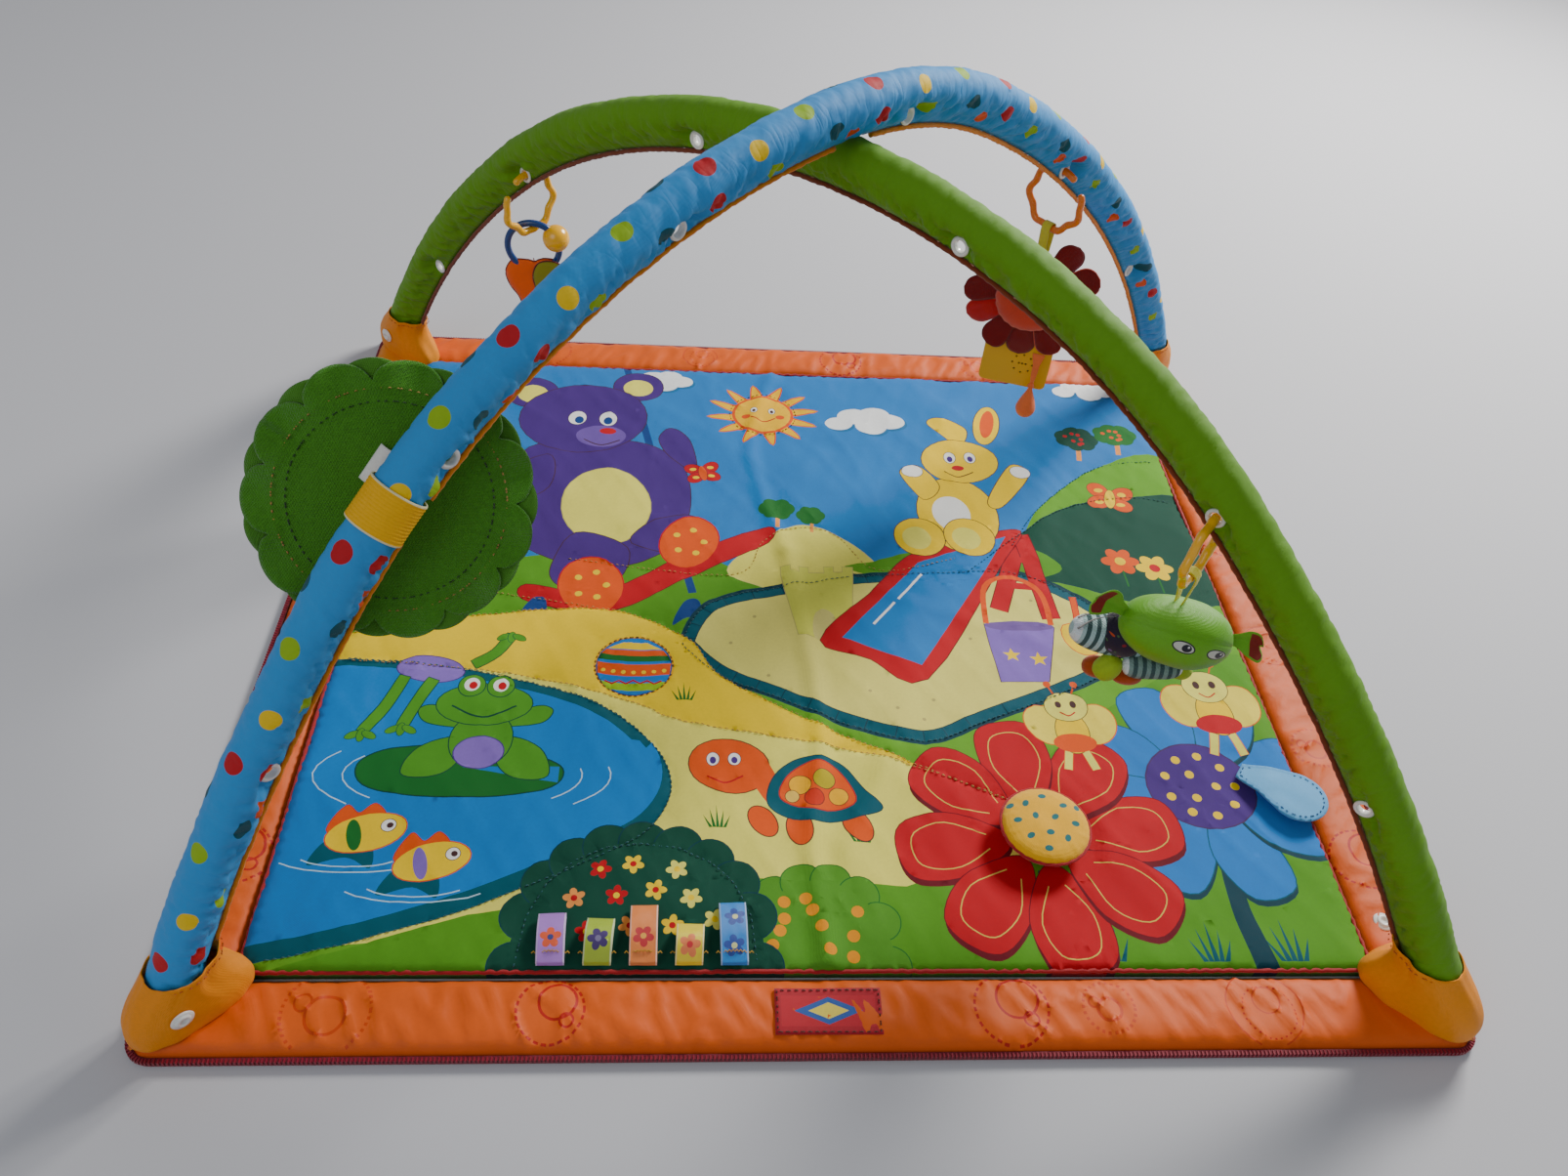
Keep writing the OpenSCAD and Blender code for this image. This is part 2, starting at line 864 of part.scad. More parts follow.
play_panel();
border_front();
border_back();
border_left();
border_right();
panel_piping();
edge_zip();
snap_buttons();
maker_label();
ribbon_tags();
pocket_front_left();
pocket_front_right();
pocket_back_left();
pocket_back_right();
flower_cushion();
cushion_squeaker();
petal_flap();
green_rod_front();
green_rod_back();
green_spigot();
green_caps();
green_sleeve();
green_piping();
green_eyelets();
blue_rod_front();
blue_rod_back();
blue_spigot();
blue_caps();
blue_sleeve();
blue_piping();
blue_eyelets();
crown_snap();
pad_strap();
pad_felt_back();
pad_felt_petals();
pad_rim();
pad_mirror();
teether_link();
teether_ring();
teether_leaf();
teether_petal();
teether_ball();
teether_drop();
petal_toy_link();
petal_toy_loop();
petal_toy_core();
petal_toy_mane();
petal_toy_lining();
music_case_back();
music_case_front();
music_speaker();
music_cells();
music_pull();
plush_link();
plush_loop();
plush_head();
plush_ears();
plush_body();
plush_paws();
plush_scarf();
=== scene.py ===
from math import acos, atan2, cos, degrees, exp, hypot, pi, radians, sin, sqrt
import bmesh
import bpy
import numpy as np
from mathutils import Matrix, Vector, noise
from mathutils.geometry import delaunay_2d_cdt


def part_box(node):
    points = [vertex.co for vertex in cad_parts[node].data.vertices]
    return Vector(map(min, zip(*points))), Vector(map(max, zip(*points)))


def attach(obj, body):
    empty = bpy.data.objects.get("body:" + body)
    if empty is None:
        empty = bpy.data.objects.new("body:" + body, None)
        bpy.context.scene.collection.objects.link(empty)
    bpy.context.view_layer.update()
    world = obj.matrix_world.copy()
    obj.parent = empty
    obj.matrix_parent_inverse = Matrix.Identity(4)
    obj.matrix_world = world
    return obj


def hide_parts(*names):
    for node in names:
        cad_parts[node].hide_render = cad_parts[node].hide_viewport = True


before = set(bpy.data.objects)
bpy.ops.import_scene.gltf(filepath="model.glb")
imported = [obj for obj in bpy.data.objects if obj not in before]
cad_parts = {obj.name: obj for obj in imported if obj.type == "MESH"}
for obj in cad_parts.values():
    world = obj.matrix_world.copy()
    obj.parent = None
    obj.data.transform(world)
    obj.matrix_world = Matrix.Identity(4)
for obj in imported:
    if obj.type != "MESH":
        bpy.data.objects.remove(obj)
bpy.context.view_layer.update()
print("frame loaded")

# ---------- small helpers ----------

def paint(r, g, b):  # a screen colour, as the linear one that shaders want
    def lin(c):
        c /= 255
        return c / 12.92 if c <= 0.04045 else ((c + 0.055) / 1.055) ** 2.4
    return (lin(r), lin(g), lin(b), 1.0)

def mixPaint(a, b, t):
    return tuple(a[i] * (1 - t) + b[i] * t for i in range(4))

def smooth(a, b, x):
    t = min(1.0, max(0.0, (x - a) / (b - a)))
    return t * t * (3 - 2 * t)

def wobble(x, y=0.0, z=0.0):
    return noise.noise(Vector((x, y, z)))

def makePiece(name, verts, faces, mats, body, stands=(), faceMats=None, flat=False):
    mesh = bpy.data.meshes.new(name)
    mesh.from_pydata([tuple(v) for v in verts], [], faces)
    mesh.validate()
    for m in mats:
        mesh.materials.append(m)
    if faceMats:
        mesh.polygons.foreach_set("material_index", faceMats)
    obj = bpy.data.objects.new(name, mesh)
    bpy.context.scene.collection.objects.link(obj)
    mesh.polygons.foreach_set("use_smooth", [not flat] * len(mesh.polygons))
    settle(obj, body, stands)
    return obj

def settle(obj, body, stands=()):
    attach(obj, body)
    if stands:
        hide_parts(*stands)

def openMesh(obj):
    bm = bmesh.new()
    bm.from_mesh(obj.data)
    return bm

def closeMesh(obj, bm, outwards=True):
    if outwards:
        bmesh.ops.recalc_face_normals(bm, faces=bm.faces)
    bm.to_mesh(obj.data)
    bm.free()

def faceOut(obj):  # turns every face outwards
    closeMesh(obj, openMesh(obj))

def sheetFaces(rows, cols):  # between rows + 1 lines of cols + 1 corners
    w = cols + 1
    return [(j * w + i, j * w + i + 1, (j + 1) * w + i + 1, (j + 1) * w + i) for j in range(rows) for i in range(cols)]

def ringFaces(rings, around):  # between closed rings of corners
    return [(j * around + i, j * around + (i + 1) % around, (j + 1) * around + (i + 1) % around, (j + 1) * around + i)
        for j in range(rings - 1) for i in range(around)]

def endFaces(rings, around):
    return [tuple(range(around)), tuple((rings - 1) * around + i for i in reversed(range(around)))]

def dressNode(node, material):  # a CAD part that keeps its shape
    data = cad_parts[node].data
    data.materials.clear()
    data.materials.append(material)

def dropAll():
    bpy.ops.object.select_all(action="DESELECT")

def pick(obj):
    dropAll()
    obj.select_set(True)
    bpy.context.view_layer.objects.active = obj

def thicken(obj, depth, offset=0.0):
    pick(obj)
    mod = obj.modifiers.new("thick", "SOLIDIFY")
    mod.thickness, mod.offset = depth, offset
    bpy.ops.object.modifier_apply(modifier="thick")

def refine(obj, levels=1):
    pick(obj)
    mod = obj.modifiers.new("round", "SUBSURF")
    mod.levels = mod.render_levels = levels
    bpy.ops.object.modifier_apply(modifier="round")

# ---------- materials ----------

def newGroup(name, inputs, outputs):
    group = bpy.data.node_groups.new(name, "ShaderNodeTree")
    for label, kind, value in inputs:
        s = group.interface.new_socket(label, in_out="INPUT", socket_type=kind)
        if value is not None:
            s.default_value = value
    for label, kind in outputs:
        group.interface.new_socket(label, in_out="OUTPUT", socket_type=kind)
    return group, group.nodes.new("NodeGroupInput"), group.nodes.new("NodeGroupOutput")

def mathNode(tree, kind, a, b=None, c=None, clamp=False):
    n = tree.nodes.new("ShaderNodeMath")
    n.operation, n.use_clamp = kind, clamp
    for i, v in enumerate((a, b, c)):
        if v is None:
            continue
        if isinstance(v, (int, float)):
            n.inputs[i].default_value = v
        else:
            tree.links.new(v, n.inputs[i])
    return n.outputs[0]

def noiseNode(tree, where, scale, detail, rough=0.5, distortion=0.0):
    n = tree.nodes.new("ShaderNodeTexNoise")
    for label, value in (("Scale", scale), ("Detail", detail), ("Roughness", rough), ("Distortion", distortion)):
        n.inputs[label].default_value = value
    tree.links.new(where, n.inputs["Vector"])
    return n.outputs["Fac"]

def bumpNode(tree, height, strength, distance):
    n = tree.nodes.new("ShaderNodeBump")
    n.inputs["Strength"].default_value, n.inputs["Distance"].default_value = strength, distance
    tree.links.new(height, n.inputs["Height"])
    return n.outputs[0]

def groupNode(tree, group, where, **values):
    n = tree.nodes.new("ShaderNodeGroup")
    n.node_tree = group
    for label, value in values.items():
        n.inputs[label].default_value = value
    tree.links.new(where, n.inputs["Vector"])
    return n

# plain weave: over and under threads, a thread pitch apart
weaveGroup, gi, go = newGroup("clothWeave",
    [("Vector", "NodeSocketVector", None), ("Threads", "NodeSocketFloat", 1200.0), ("Ribs", "NodeSocketFloat", 1.0)],
    [("Height", "NodeSocketFloat"), ("Fleck", "NodeSocketFloat")])
t = weaveGroup
split = t.nodes.new("ShaderNodeSeparateXYZ")
t.links.new(gi.outputs["Vector"], split.inputs[0])
along = mathNode(t, "SINE", mathNode(t, "MULTIPLY", split.outputs[0], mathNode(t, "MULTIPLY", gi.outputs["Threads"], 6.2832)))
across = mathNode(t, "SINE", mathNode(t, "MULTIPLY", split.outputs[1],
    mathNode(t, "MULTIPLY", mathNode(t, "MULTIPLY", gi.outputs["Threads"], gi.outputs["Ribs"]), 6.2832)))
third = mathNode(t, "SINE", mathNode(t, "MULTIPLY", split.outputs[2], mathNode(t, "MULTIPLY", gi.outputs["Threads"], 6.2832)))
crossed = mathNode(t, "MULTIPLY_ADD", along, across, mathNode(t, "MULTIPLY", third, 0.4))
t.links.new(mathNode(t, "MULTIPLY_ADD", crossed, 0.35, 0.5), go.inputs["Height"])
t.links.new(noiseNode(t, gi.outputs["Vector"], 420, 3), go.inputs["Fleck"])

# slow change of colour over a surface, from handling and fading
fadeGroup, gi, go = newGroup("softFade",
    [("Vector", "NodeSocketVector", None), ("Colour", "NodeSocketColor", None), ("Amount", "NodeSocketFloat", 0.1),
        ("Fleck", "NodeSocketFloat", 0.5), ("FleckAmount", "NodeSocketFloat", 0.1)],
    [("Colour", "NodeSocketColor")])
t = fadeGroup
slow = noiseNode(t, gi.outputs["Vector"], 17, 4)
swing = mathNode(t, "MULTIPLY_ADD", mathNode(t, "SUBTRACT", slow, 0.5), gi.outputs["Amount"], 1.0)
fine = mathNode(t, "MULTIPLY_ADD", mathNode(t, "SUBTRACT", gi.outputs["Fleck"], 0.5), gi.outputs["FleckAmount"], swing)
tone = t.nodes.new("ShaderNodeVectorMath")
tone.operation = "SCALE"
t.links.new(gi.outputs["Colour"], tone.inputs[0])
t.links.new(fine, tone.inputs["Scale"])
t.links.new(tone.outputs[0], go.inputs["Colour"])

def baseMaterial(name):
    m = bpy.data.materials.new(name)
    m.use_nodes = True
    m.use_backface_culling = False
    return m, m.node_tree, m.node_tree.nodes["Principled BSDF"]

def cloth(name, colour=None, attribute=None, threads=1100, ribs=1.0, weave=0.25, rough=0.8, sheen=0.25, fade=0.25, fleck=0.25,
        useUv=False, fuzz=0.0, gloss=0.35, creases=0.0):
    m, t, bsdf = baseMaterial(name)
    where = t.nodes.new("ShaderNodeTexCoord").outputs["UV" if useUv else "Object"]
    threadsNode = groupNode(t, weaveGroup, where, Threads=threads, Ribs=ribs)
    fadeNode = groupNode(t, fadeGroup, where, Amount=fade, FleckAmount=fleck)
    t.links.new(threadsNode.outputs["Fleck"], fadeNode.inputs["Fleck"])
    if attribute:
        a = t.nodes.new("ShaderNodeAttribute")
        a.attribute_name = attribute
        t.links.new(a.outputs["Color"], fadeNode.inputs["Colour"])
    else:
        fadeNode.inputs["Colour"].default_value = colour
    t.links.new(fadeNode.outputs["Colour"], bsdf.inputs["Base Color"])
    height = threadsNode.outputs["Height"]
    if fuzz:  # loose fibres, as on felt and plush
        height = mathNode(t, "MULTIPLY_ADD", noiseNode(t, where, 900, 6, 0.75), fuzz, height)
    if creases:  # sharp folds across a sleeve, deeper towards its seam
        squeeze = t.nodes.new("ShaderNodeMapping")
        squeeze.inputs["Scale"].default_value = (1.0, 0.22, 1.0)
        t.links.new(where, squeeze.inputs["Vector"])
        fold = mathNode(t, "SUBTRACT", noiseNode(t, squeeze.outputs[0], 95, 2, distortion=0.25), 0.5)
        flank = mathNode(t, "MULTIPLY", mathNode(t, "ABSOLUTE", fold), 7.0)
        ridge = mathNode(t, "POWER", mathNode(t, "SUBTRACT", 1.0, flank, clamp=True), 2.0)
        place = t.nodes.new("ShaderNodeSeparateXYZ")
        t.links.new(where, place.inputs[0])
        depth = mathNode(t, "MULTIPLY_ADD", mathNode(t, "ABSOLUTE", place.outputs[1]), 26.0, 0.12, clamp=True)
        height = mathNode(t, "MULTIPLY_ADD", mathNode(t, "MULTIPLY", ridge, depth), -creases, height)
    t.links.new(bumpNode(t, height, weave, 0.0006), bsdf.inputs["Normal"])
    roughFleck = mathNode(t, "MULTIPLY_ADD", threadsNode.outputs["Fleck"], 0.12, rough - 0.06)
    t.links.new(roughFleck, bsdf.inputs["Roughness"])
    bsdf.inputs["Sheen Weight"].default_value = sheen
    bsdf.inputs["Sheen Roughness"].default_value = 0.45
    bsdf.inputs["Specular IOR Level"].default_value = gloss
    return m

def plastic(name, colour, rough=0.28, coat=0.35, grain=0.05, metal=0.0, fade=0.12):
    m, t, bsdf = baseMaterial(name)
    where = t.nodes.new("ShaderNodeTexCoord").outputs["Object"]
    fadeNode = groupNode(t, fadeGroup, where, Amount=fade, Colour=colour)
    t.links.new(fadeNode.outputs["Colour"], bsdf.inputs["Base Color"])
    scuff = noiseNode(t, where, 160, 5)
    t.links.new(mathNode(t, "MULTIPLY_ADD", scuff, 0.14, rough - 0.07), bsdf.inputs["Roughness"])
    t.links.new(bumpNode(t, scuff, grain, 0.0004), bsdf.inputs["Normal"])
    bsdf.inputs["Metallic"].default_value = metal
    bsdf.inputs["Coat Weight"].default_value = coat
    bsdf.inputs["Coat Roughness"].default_value = 0.12
    return m

dyes = {  # colours of the print and the cloths
    "sky": paint(34, 118, 190), "cloud": paint(238, 240, 240), "sun": paint(240, 184, 0), "orange": paint(226, 82, 10),
    "cream": paint(228, 220, 96), "sand": paint(222, 212, 122), "red": paint(190, 4, 24), "darkRed": paint(104, 2, 24),
    "teal": paint(0, 84, 100), "darkTeal": paint(0, 58, 72), "lightGreen": paint(96, 158, 30), "ground": paint(82, 146, 24),
    "darkGreen": paint(0, 70, 52), "midGreen": paint(22, 106, 36), "yellow": paint(244, 204, 0), "path": paint(240, 204, 0),
    "purple": paint(70, 38, 122), "lilac": paint(132, 102, 190), "pond": paint(30, 120, 196), "petalBlue": paint(30, 118, 198),
    "frog": paint(76, 148, 32), "white": paint(240, 240, 236), "ink": paint(70, 40, 40), "blueDark": paint(18, 62, 128),
    "peach": paint(240, 150, 70), "ripple": paint(190, 222, 238), "lime": paint(150, 190, 10)}

print("materials ready")

# ---------- flat shapes for printed cloth, in millimetres ----------

def oval(x, y, rx, ry=None, turn=0, n=26):
    ry = ry or rx
    c, s = cos(radians(turn)), sin(radians(turn))
    return [(x + rx * cos(a) * c - ry * sin(a) * s, y + rx * cos(a) * s + ry * sin(a) * c) for a in (2 * pi * i / n for i in range(n))]

def curve(points, closed=True, steps=6):  # a smooth line through the points
    out, n = [], len(points)
    for i in range(n if closed else n - 1):
        p = [points[(i + k - 1) % n] if closed else points[min(max(i + k - 1, 0), n - 1)] for k in range(4)]
        for j in range(steps):
            t = j / steps
            out.append(tuple(0.5 * (2 * p[1][d] + (p[2][d] - p[0][d]) * t + (2 * p[0][d] - 5 * p[1][d] + 4 * p[2][d] - p[3][d]) * t * t
                + (3 * p[1][d] - p[0][d] - 3 * p[2][d] + p[3][d]) * t ** 3) for d in (0, 1)))
    if not closed:
        out.append(tuple(points[-1]))
    return out

def grow(points, width):  # a closed shape, made larger all round
    area = sum(points[i - 1][0] * points[i][1] - points[i][0] * points[i - 1][1] for i in range(len(points)))
    side, out, n = (1 if area > 0 else -1), [], len(points)
    for i in range(n):
        a, b = points[i - 1], points[(i + 1) % n]
        dx, dy = b[0] - a[0], b[1] - a[1]
        l = hypot(dx, dy) or 1
        out.append((points[i][0] + side * dy / l * width, points[i][1] - side * dx / l * width))
    return out

def stripe(points, width, taper=1.0):  # an open line drawn with a broad pen
    n, left, right = len(points), [], []
    for i in range(n):
        a, b = points[max(i - 1, 0)], points[min(i + 1, n - 1)]
        dx, dy = b[0] - a[0], b[1] - a[1]
        l = hypot(dx, dy) or 1
        w = width / 2 * (1 + (taper - 1) * i / (n - 1))
        left.append((points[i][0] - dy / l * w, points[i][1] + dx / l * w))
        right.append((points[i][0] + dy / l * w, points[i][1] - dx / l * w))
    return left + right[::-1]

def closeLine(points):
    return list(points) + [points[0]]

class Print:  # painted shapes, the first one lowest
    def __init__(self):
        self.shapes = []
    def add(self, shape, colour, line=None, width=0.8):
        if line is not None:
            self.shapes.append((grow(shape, width), line))
        self.shapes.append((shape, colour))
    def ring(self, x, y, r, width, colour, n=30):
        self.stroke(closeLine(oval(x, y, r, n=n)), width, colour)
    def stroke(self, points, width, colour):
        for a, b in zip(points, points[1:]):
            dx, dy = b[0] - a[0], b[1] - a[1]
            l = hypot(dx, dy) or 1
            e, f = dx / l * width * 0.2, dy / l * width * 0.2
            self.shapes.append((stripe([(a[0] - e, a[1] - f), (b[0] + e, b[1] + f)], width), colour))
    def dashes(self, points, dash, gap, width, colour):
        left, on = dash, True
        for a, b in zip(points, points[1:]):
            l, at = hypot(b[0] - a[0], b[1] - a[1]), 0.0
            while l - at > 1e-6:
                step = min(left, l - at)
                if on and step > 0.4:
                    p, q = at / l, (at + step) / l
                    self.shapes.append((stripe([(a[0] + (b[0] - a[0]) * k, a[1] + (b[1] - a[1]) * k) for k in (p, q)], width), colour))
                at, left = at + step, left - step
                if left < 1e-6:
                    on = not on
                    left = dash if on else gap

def inside(x, y, shape):
    hit, j = False, len(shape) - 1
    for i in range(len(shape)):
        if (shape[i][1] > y) != (shape[j][1] > y) and x < (shape[j][0] - shape[i][0]) * (y - shape[i][1]) / (shape[j][1]
                - shape[i][1]) + shape[i][0]:
            hit = not hit
        j = i
    return hit

def leftHanded(shape):  # runs the outline anticlockwise
    area = sum(shape[i - 1][0] * shape[i][1] - shape[i][0] * shape[i - 1][1] for i in range(len(shape)))
    return list(shape) if area > 0 else list(shape)[::-1]

def finer(shape, most):  # the same closed outline with points added along its long edges
    out = []
    for p, q in zip(shape, list(shape[1:]) + [shape[0]]):
        n = max(1, int(hypot(q[0] - p[0], q[1] - p[1]) / most + 0.999))
        out += [(p[0] + (q[0] - p[0]) * k / n, p[1] + (q[1] - p[1]) * k / n) for k in range(n)]
    return out

# cuts a flat outline into small faces along every printed shape, and gives each face the colour on top
def cutPrint(outline, ground, shapes, grid, holes=()):
    square = len(outline) == 4
    outline = outline if square else finer(outline, 1.5 * grid)
    shapes = [(finer(shape, 1.5 * grid), colour) for shape, colour in shapes]
    xs, ys = [p[0] for p in outline], [p[1] for p in outline]
    points = [Vector(p) for p in leftHanded(outline)]
    faces, colours = [list(range(len(points)))], [ground]
    for shape, colour in list(shapes) + [(h, None) for h in holes]:
        shape = leftHanded(shape)
        faces.append(list(range(len(points), len(points) + len(shape))))
        points += [Vector(p) for p in shape]
        colours.append(colour)
    nx, ny = max(2, round((max(xs) - min(xs)) / grid)), max(2, round((max(ys) - min(ys)) / grid))
    for i in range(nx + 1):
        for j in range(ny + 1):
            x, y = min(xs) + (max(xs) - min(xs)) * i / nx, min(ys) + (max(ys) - min(ys)) * j / ny
            edge = i in (0, nx) or j in (0, ny)
            shift = 0 if edge or j % 2 == 0 else 0.5 * grid
            if edge and not square:
                continue
            if square or inside(x + shift, y, outline):
                points.append(Vector((min(x + shift, max(xs)), y)))
    # its corners come first, its faces third, and the shapes that each face lies in last
    cut = delaunay_2d_cdt(points, [], faces, 1, 1e-5, True)
    outFaces, outColours = [], []
    for face, origin in zip(cut[2], cut[5]):
        origin = [k for k in origin if k < len(colours)]
        top = colours[max(origin)] if origin else ground
        if top is None or 0 not in origin:
            continue
        outFaces.append(list(face))
        outColours.append(top)
    used = sorted({i for face in outFaces for i in face})
    place = {old: new for new, old in enumerate(used)}
    return [tuple(cut[0][i]) for i in used], [[place[i] for i in face] for face in outFaces], outColours

def dye(obj, colours, name="printColour"):  # one colour for each face
    layer = obj.data.color_attributes.new(name, "FLOAT_COLOR", "CORNER")
    flat = []
    for p in obj.data.polygons:
        c = colours[p.index] if p.index < len(colours) else colours[-1]
        flat += list(c) * p.loop_total
    layer.data.foreach_set("color", flat)

def distanceTo(lines, pts):  # how far each point is from a set of lines, and how far along them
    pts = np.asarray(pts)
    best, alongBest = np.full(len(pts), 1e9), np.zeros(len(pts))
    for line in lines:
        run = 0.0
        for a, b in zip(line, line[1:]):
            a, b = np.array(a), np.array(b)
            d = b - a
            l = float(np.hypot(*d))
            if l < 1e-6:
                continue
            near = np.clip(((pts - a) @ d) / l ** 2, 0, 1)
            gap = np.hypot(*(pts - (a + near[:, None] * d)).T)
            closer = gap < best
            best[closer] = gap[closer]
            alongBest[closer] = run + near[closer] * l
            run += l
    return best, alongBest

# ---------- the printed picture on the mat ----------

half = {"w": 371, "d": 336}
pic = Print()
d = dyes
pondShore = curve([(-372, -72), (-265, -83), (-172, -111), (-122, -150), (-104, -190), (-118, -228), (-161, -256), (-234, -291),
    (-310, -318), (-372, -332)], False)
pathTop = curve([(-372, -48), (-274, -24), (-164, -14), (-97, -44), (-64, -88), (31, -146), (94, -178), (150, -204)], False)
pathLow = curve([(-372, -74), (-235, -86), (-134, -114), (-97, -132), (29, -157), (111, -186), (150, -204)], False)
pitEdge = curve([(-98, -44), (-76, -4), (-16, 17), (44, 30), (120, 38), (198, 38), (264, -8), (262, -50), (240, -80), (140, -127),
    (88, -149), (31, -133), (-21, -107), (-67, -85), (-93, -60)], True, 5)
bushEdge = []
for i in range(11):  # bumpy top of the dark bush
    a = pi * (1 - i / 10)
    bushEdge.append((-122 + 78 * cos(a), -333 + 92 * sin(a) ** 0.8))
bushLobes = [(p, 17) for p in bushEdge]
lightBushLobes = [((-3 + 46 * cos(pi * (1 - i / 7)), -333 + 62 * sin(pi * (1 - i / 7)) ** 0.8), 14) for i in range(8)]
flowerAt, blueAt = (162, -234), (294, -188)

pic.add([(-372, -20), (-274, -4), (-60, 30), (60, 44), (372, 60), (372, -340), (-372, -340)], d["lightGreen"])
pic.add(curve([(-372, 0), (-280, 36), (-150, 60), (-60, 40), (-40, 0), (-120, -40), (-372, -50)]), d["ground"])
pic.add(curve([(-60, 30), (-40, 66), (0, 96), (36, 84), (70, 36), (10, 10)]), d["cream"], d["sand"])
for x, y, s in ((-17, 112, 1), (14, 104, 0.8)):
    pic.add(stripe([(x, y - 20 * s), (x + 1, y)], 4 * s), d["peach"])
    for k in range(6):
        pic.add(oval(x + 9 * s * cos(k * 1.05), y + 6 + 7 * s * sin(k * 1.05), 8 * s), d["midGreen"])
pic.add(curve([(40, 40), (130, 62), (196, 76), (232, 130), (300, 192), (380, 204), (380, 30), (200, 20)]), d["lightGreen"])
pic.add(curve([(150, 40), (206, 92), (262, 134), (327, 150), (380, 142), (380, 16), (300, 6), (230, 30)]), d["darkGreen"], d["darkTeal"])
for x, y, berry in ((290, 236, d["red"]), (332, 246, d["orange"])):
    pic.add(stripe([(x - 4, y - 34), (x, y - 8)], 5), d["peach"])
    for k in range(7):
        pic.add(oval(x + 13 * cos(k * 0.9), y + 9 * sin(k * 0.9), 10), d["darkGreen"] if x < 300 else d["midGreen"])
    for k in range(7):
        pic.add(oval(x + 11 * cos(k * 0.9 + 0.4) * (0.5 + 0.5 * (k % 2)), y + 8 * sin(k * 0.9), 2.4, n=10), berry)
for x, y, s in ((78, 254, 1.0), (-128, 312, 0.8), (318, 322, 0.85)):
    for dx, dy, r in ((-28, -4, 14), (-12, 8, 17), (8, 10, 17), (24, 0, 15), (4, -8, 16)):
        pic.add(oval(x + dx * s + 2, y + dy * s - 3, r * s * 1.02, r * s * 0.82), mixPaint(d["teal"], d["sky"], 0.55))
    for dx, dy, r in ((-28, -4, 14), (-12, 8, 17), (8, 10, 17), (24, 0, 15), (4, -8, 16)):
        pic.add(oval(x + dx * s, y + dy * s, r * s, r * s * 0.8), d["cloud"])

# sun with a puffed face
sun = (-26, 262)
for k in range(12):
    a = k * pi / 6 + 0.2
    pic.add(curve([(sun[0] + 26 * cos(a - 0.2), sun[1] + 26 * sin(a - 0.2)),
        (sun[0] + 56 * cos(a - 0.04), sun[1] + 50 * sin(a - 0.04)), (sun[0] + 26 * cos(a + 0.2), sun[1] + 26 * sin(a + 0.2))], True,
        4), d["sun"], d["orange"], 1.4)
pic.add(oval(*sun, 31), d["orange"])
pic.add(oval(*sun, 28), d["sun"])
for s in (-1, 1):
    pic.add(oval(sun[0] + s * 9, sun[1] + 5, 3.2, 4.6), d["white"], d["ink"], 0.6)
    pic.add(oval(sun[0] + s * 9, sun[1] + 4, 1.8, 2.6, n=12), d["ink"])
    pic.add(oval(sun[0] + s * 17, sun[1] - 5, 4.5, 3.5, n=14), d["orange"])
pic.stroke(curve([(sun[0] - 12, sun[1] - 7), (sun[0], sun[1] - 13), (sun[0] + 12, sun[1] - 7)], False), 1.4, d["red"])

# a big soft beast on a swing
pic.add(stripe([(-166, 336), (-92, 6)], 7), d["blueDark"])
pic.add(curve([(-228, -6), (-232, 12), (-170, 6), (-100, 52), (-30, 92), (-26, 74), (-96, 26), (-160, -16)]), d["red"], d["darkRed"])
for x, y in ((-256, 284), (-152, 300)):
    pic.add(oval(x, y, 25), d["purple"], d["ink"])
    pic.add(oval(x, y - 2, 15), d["cream"])
pic.add(curve([(-250, 196), (-262, 128), (-246, 66), (-180, 36), (-118, 56), (-96, 118), (-112, 190), (-180, 214)]), d["purple"], d["ink"])
pic.add(oval(-203, 246, 62, 54, 6), d["purple"], d["ink"])
pic.add(oval(-172, 116, 40, 52, 8), d["cream"], mixPaint(d["cream"], d["ink"], 0.4))
pic.add(curve([(-232, 186), (-286, 140), (-268, 112), (-226, 140)]), d["purple"], d["ink"])
pic.add(curve([(-116, 190), (-92, 170), (-98, 214), (-116, 232), (-128, 216)]), d["purple"], d["ink"])
pic.add(curve([(-196, 78), (-214, 30), (-196, 8), (-158, 18), (-150, 60)]), d["purple"], d["ink"])
pic.add(curve([(-146, 66), (-132, 92), (-96, 104), (-72, 84), (-96, 54)]), d["purple"], d["ink"])
for x, y, rx, ry, turn in ((-178, 14, 27, 34, 10), (-96, 70, 25, 33, -18)):
    pic.add(oval(x, y, rx, ry, turn), d["orange"], d["red"], 1.2)
    for k in range(5):
        pic.add(oval(x + 13 * cos(k * 1.3), y + 16 * sin(k * 1.3), 3.2, n=12), d["yellow"])
for s in (-1, 1):
    pic.add(oval(-194 + s * 15, 246, 8.5, 11, 8 * s), d["white"], d["ink"], 0.6)
    pic.add(oval(-193 + s * 14, 243, 4.4, 6, n=16), d["blueDark"])
pic.add(oval(-184, 218, 24, 17), mixPaint(d["purple"], d["lilac"], 0.5))
pic.add(oval(-178, 226, 8, 5), d["red"])
pic.stroke(curve([(-200, 212), (-184, 204), (-166, 212)], False), 1.4, d["ink"])
for x in (-226, -98):
    pic.add(curve([(x, -4), (x - 10, -30), (x + 4, -22), (x + 14, -32), (x + 12, -4)]), d["blueDark"])

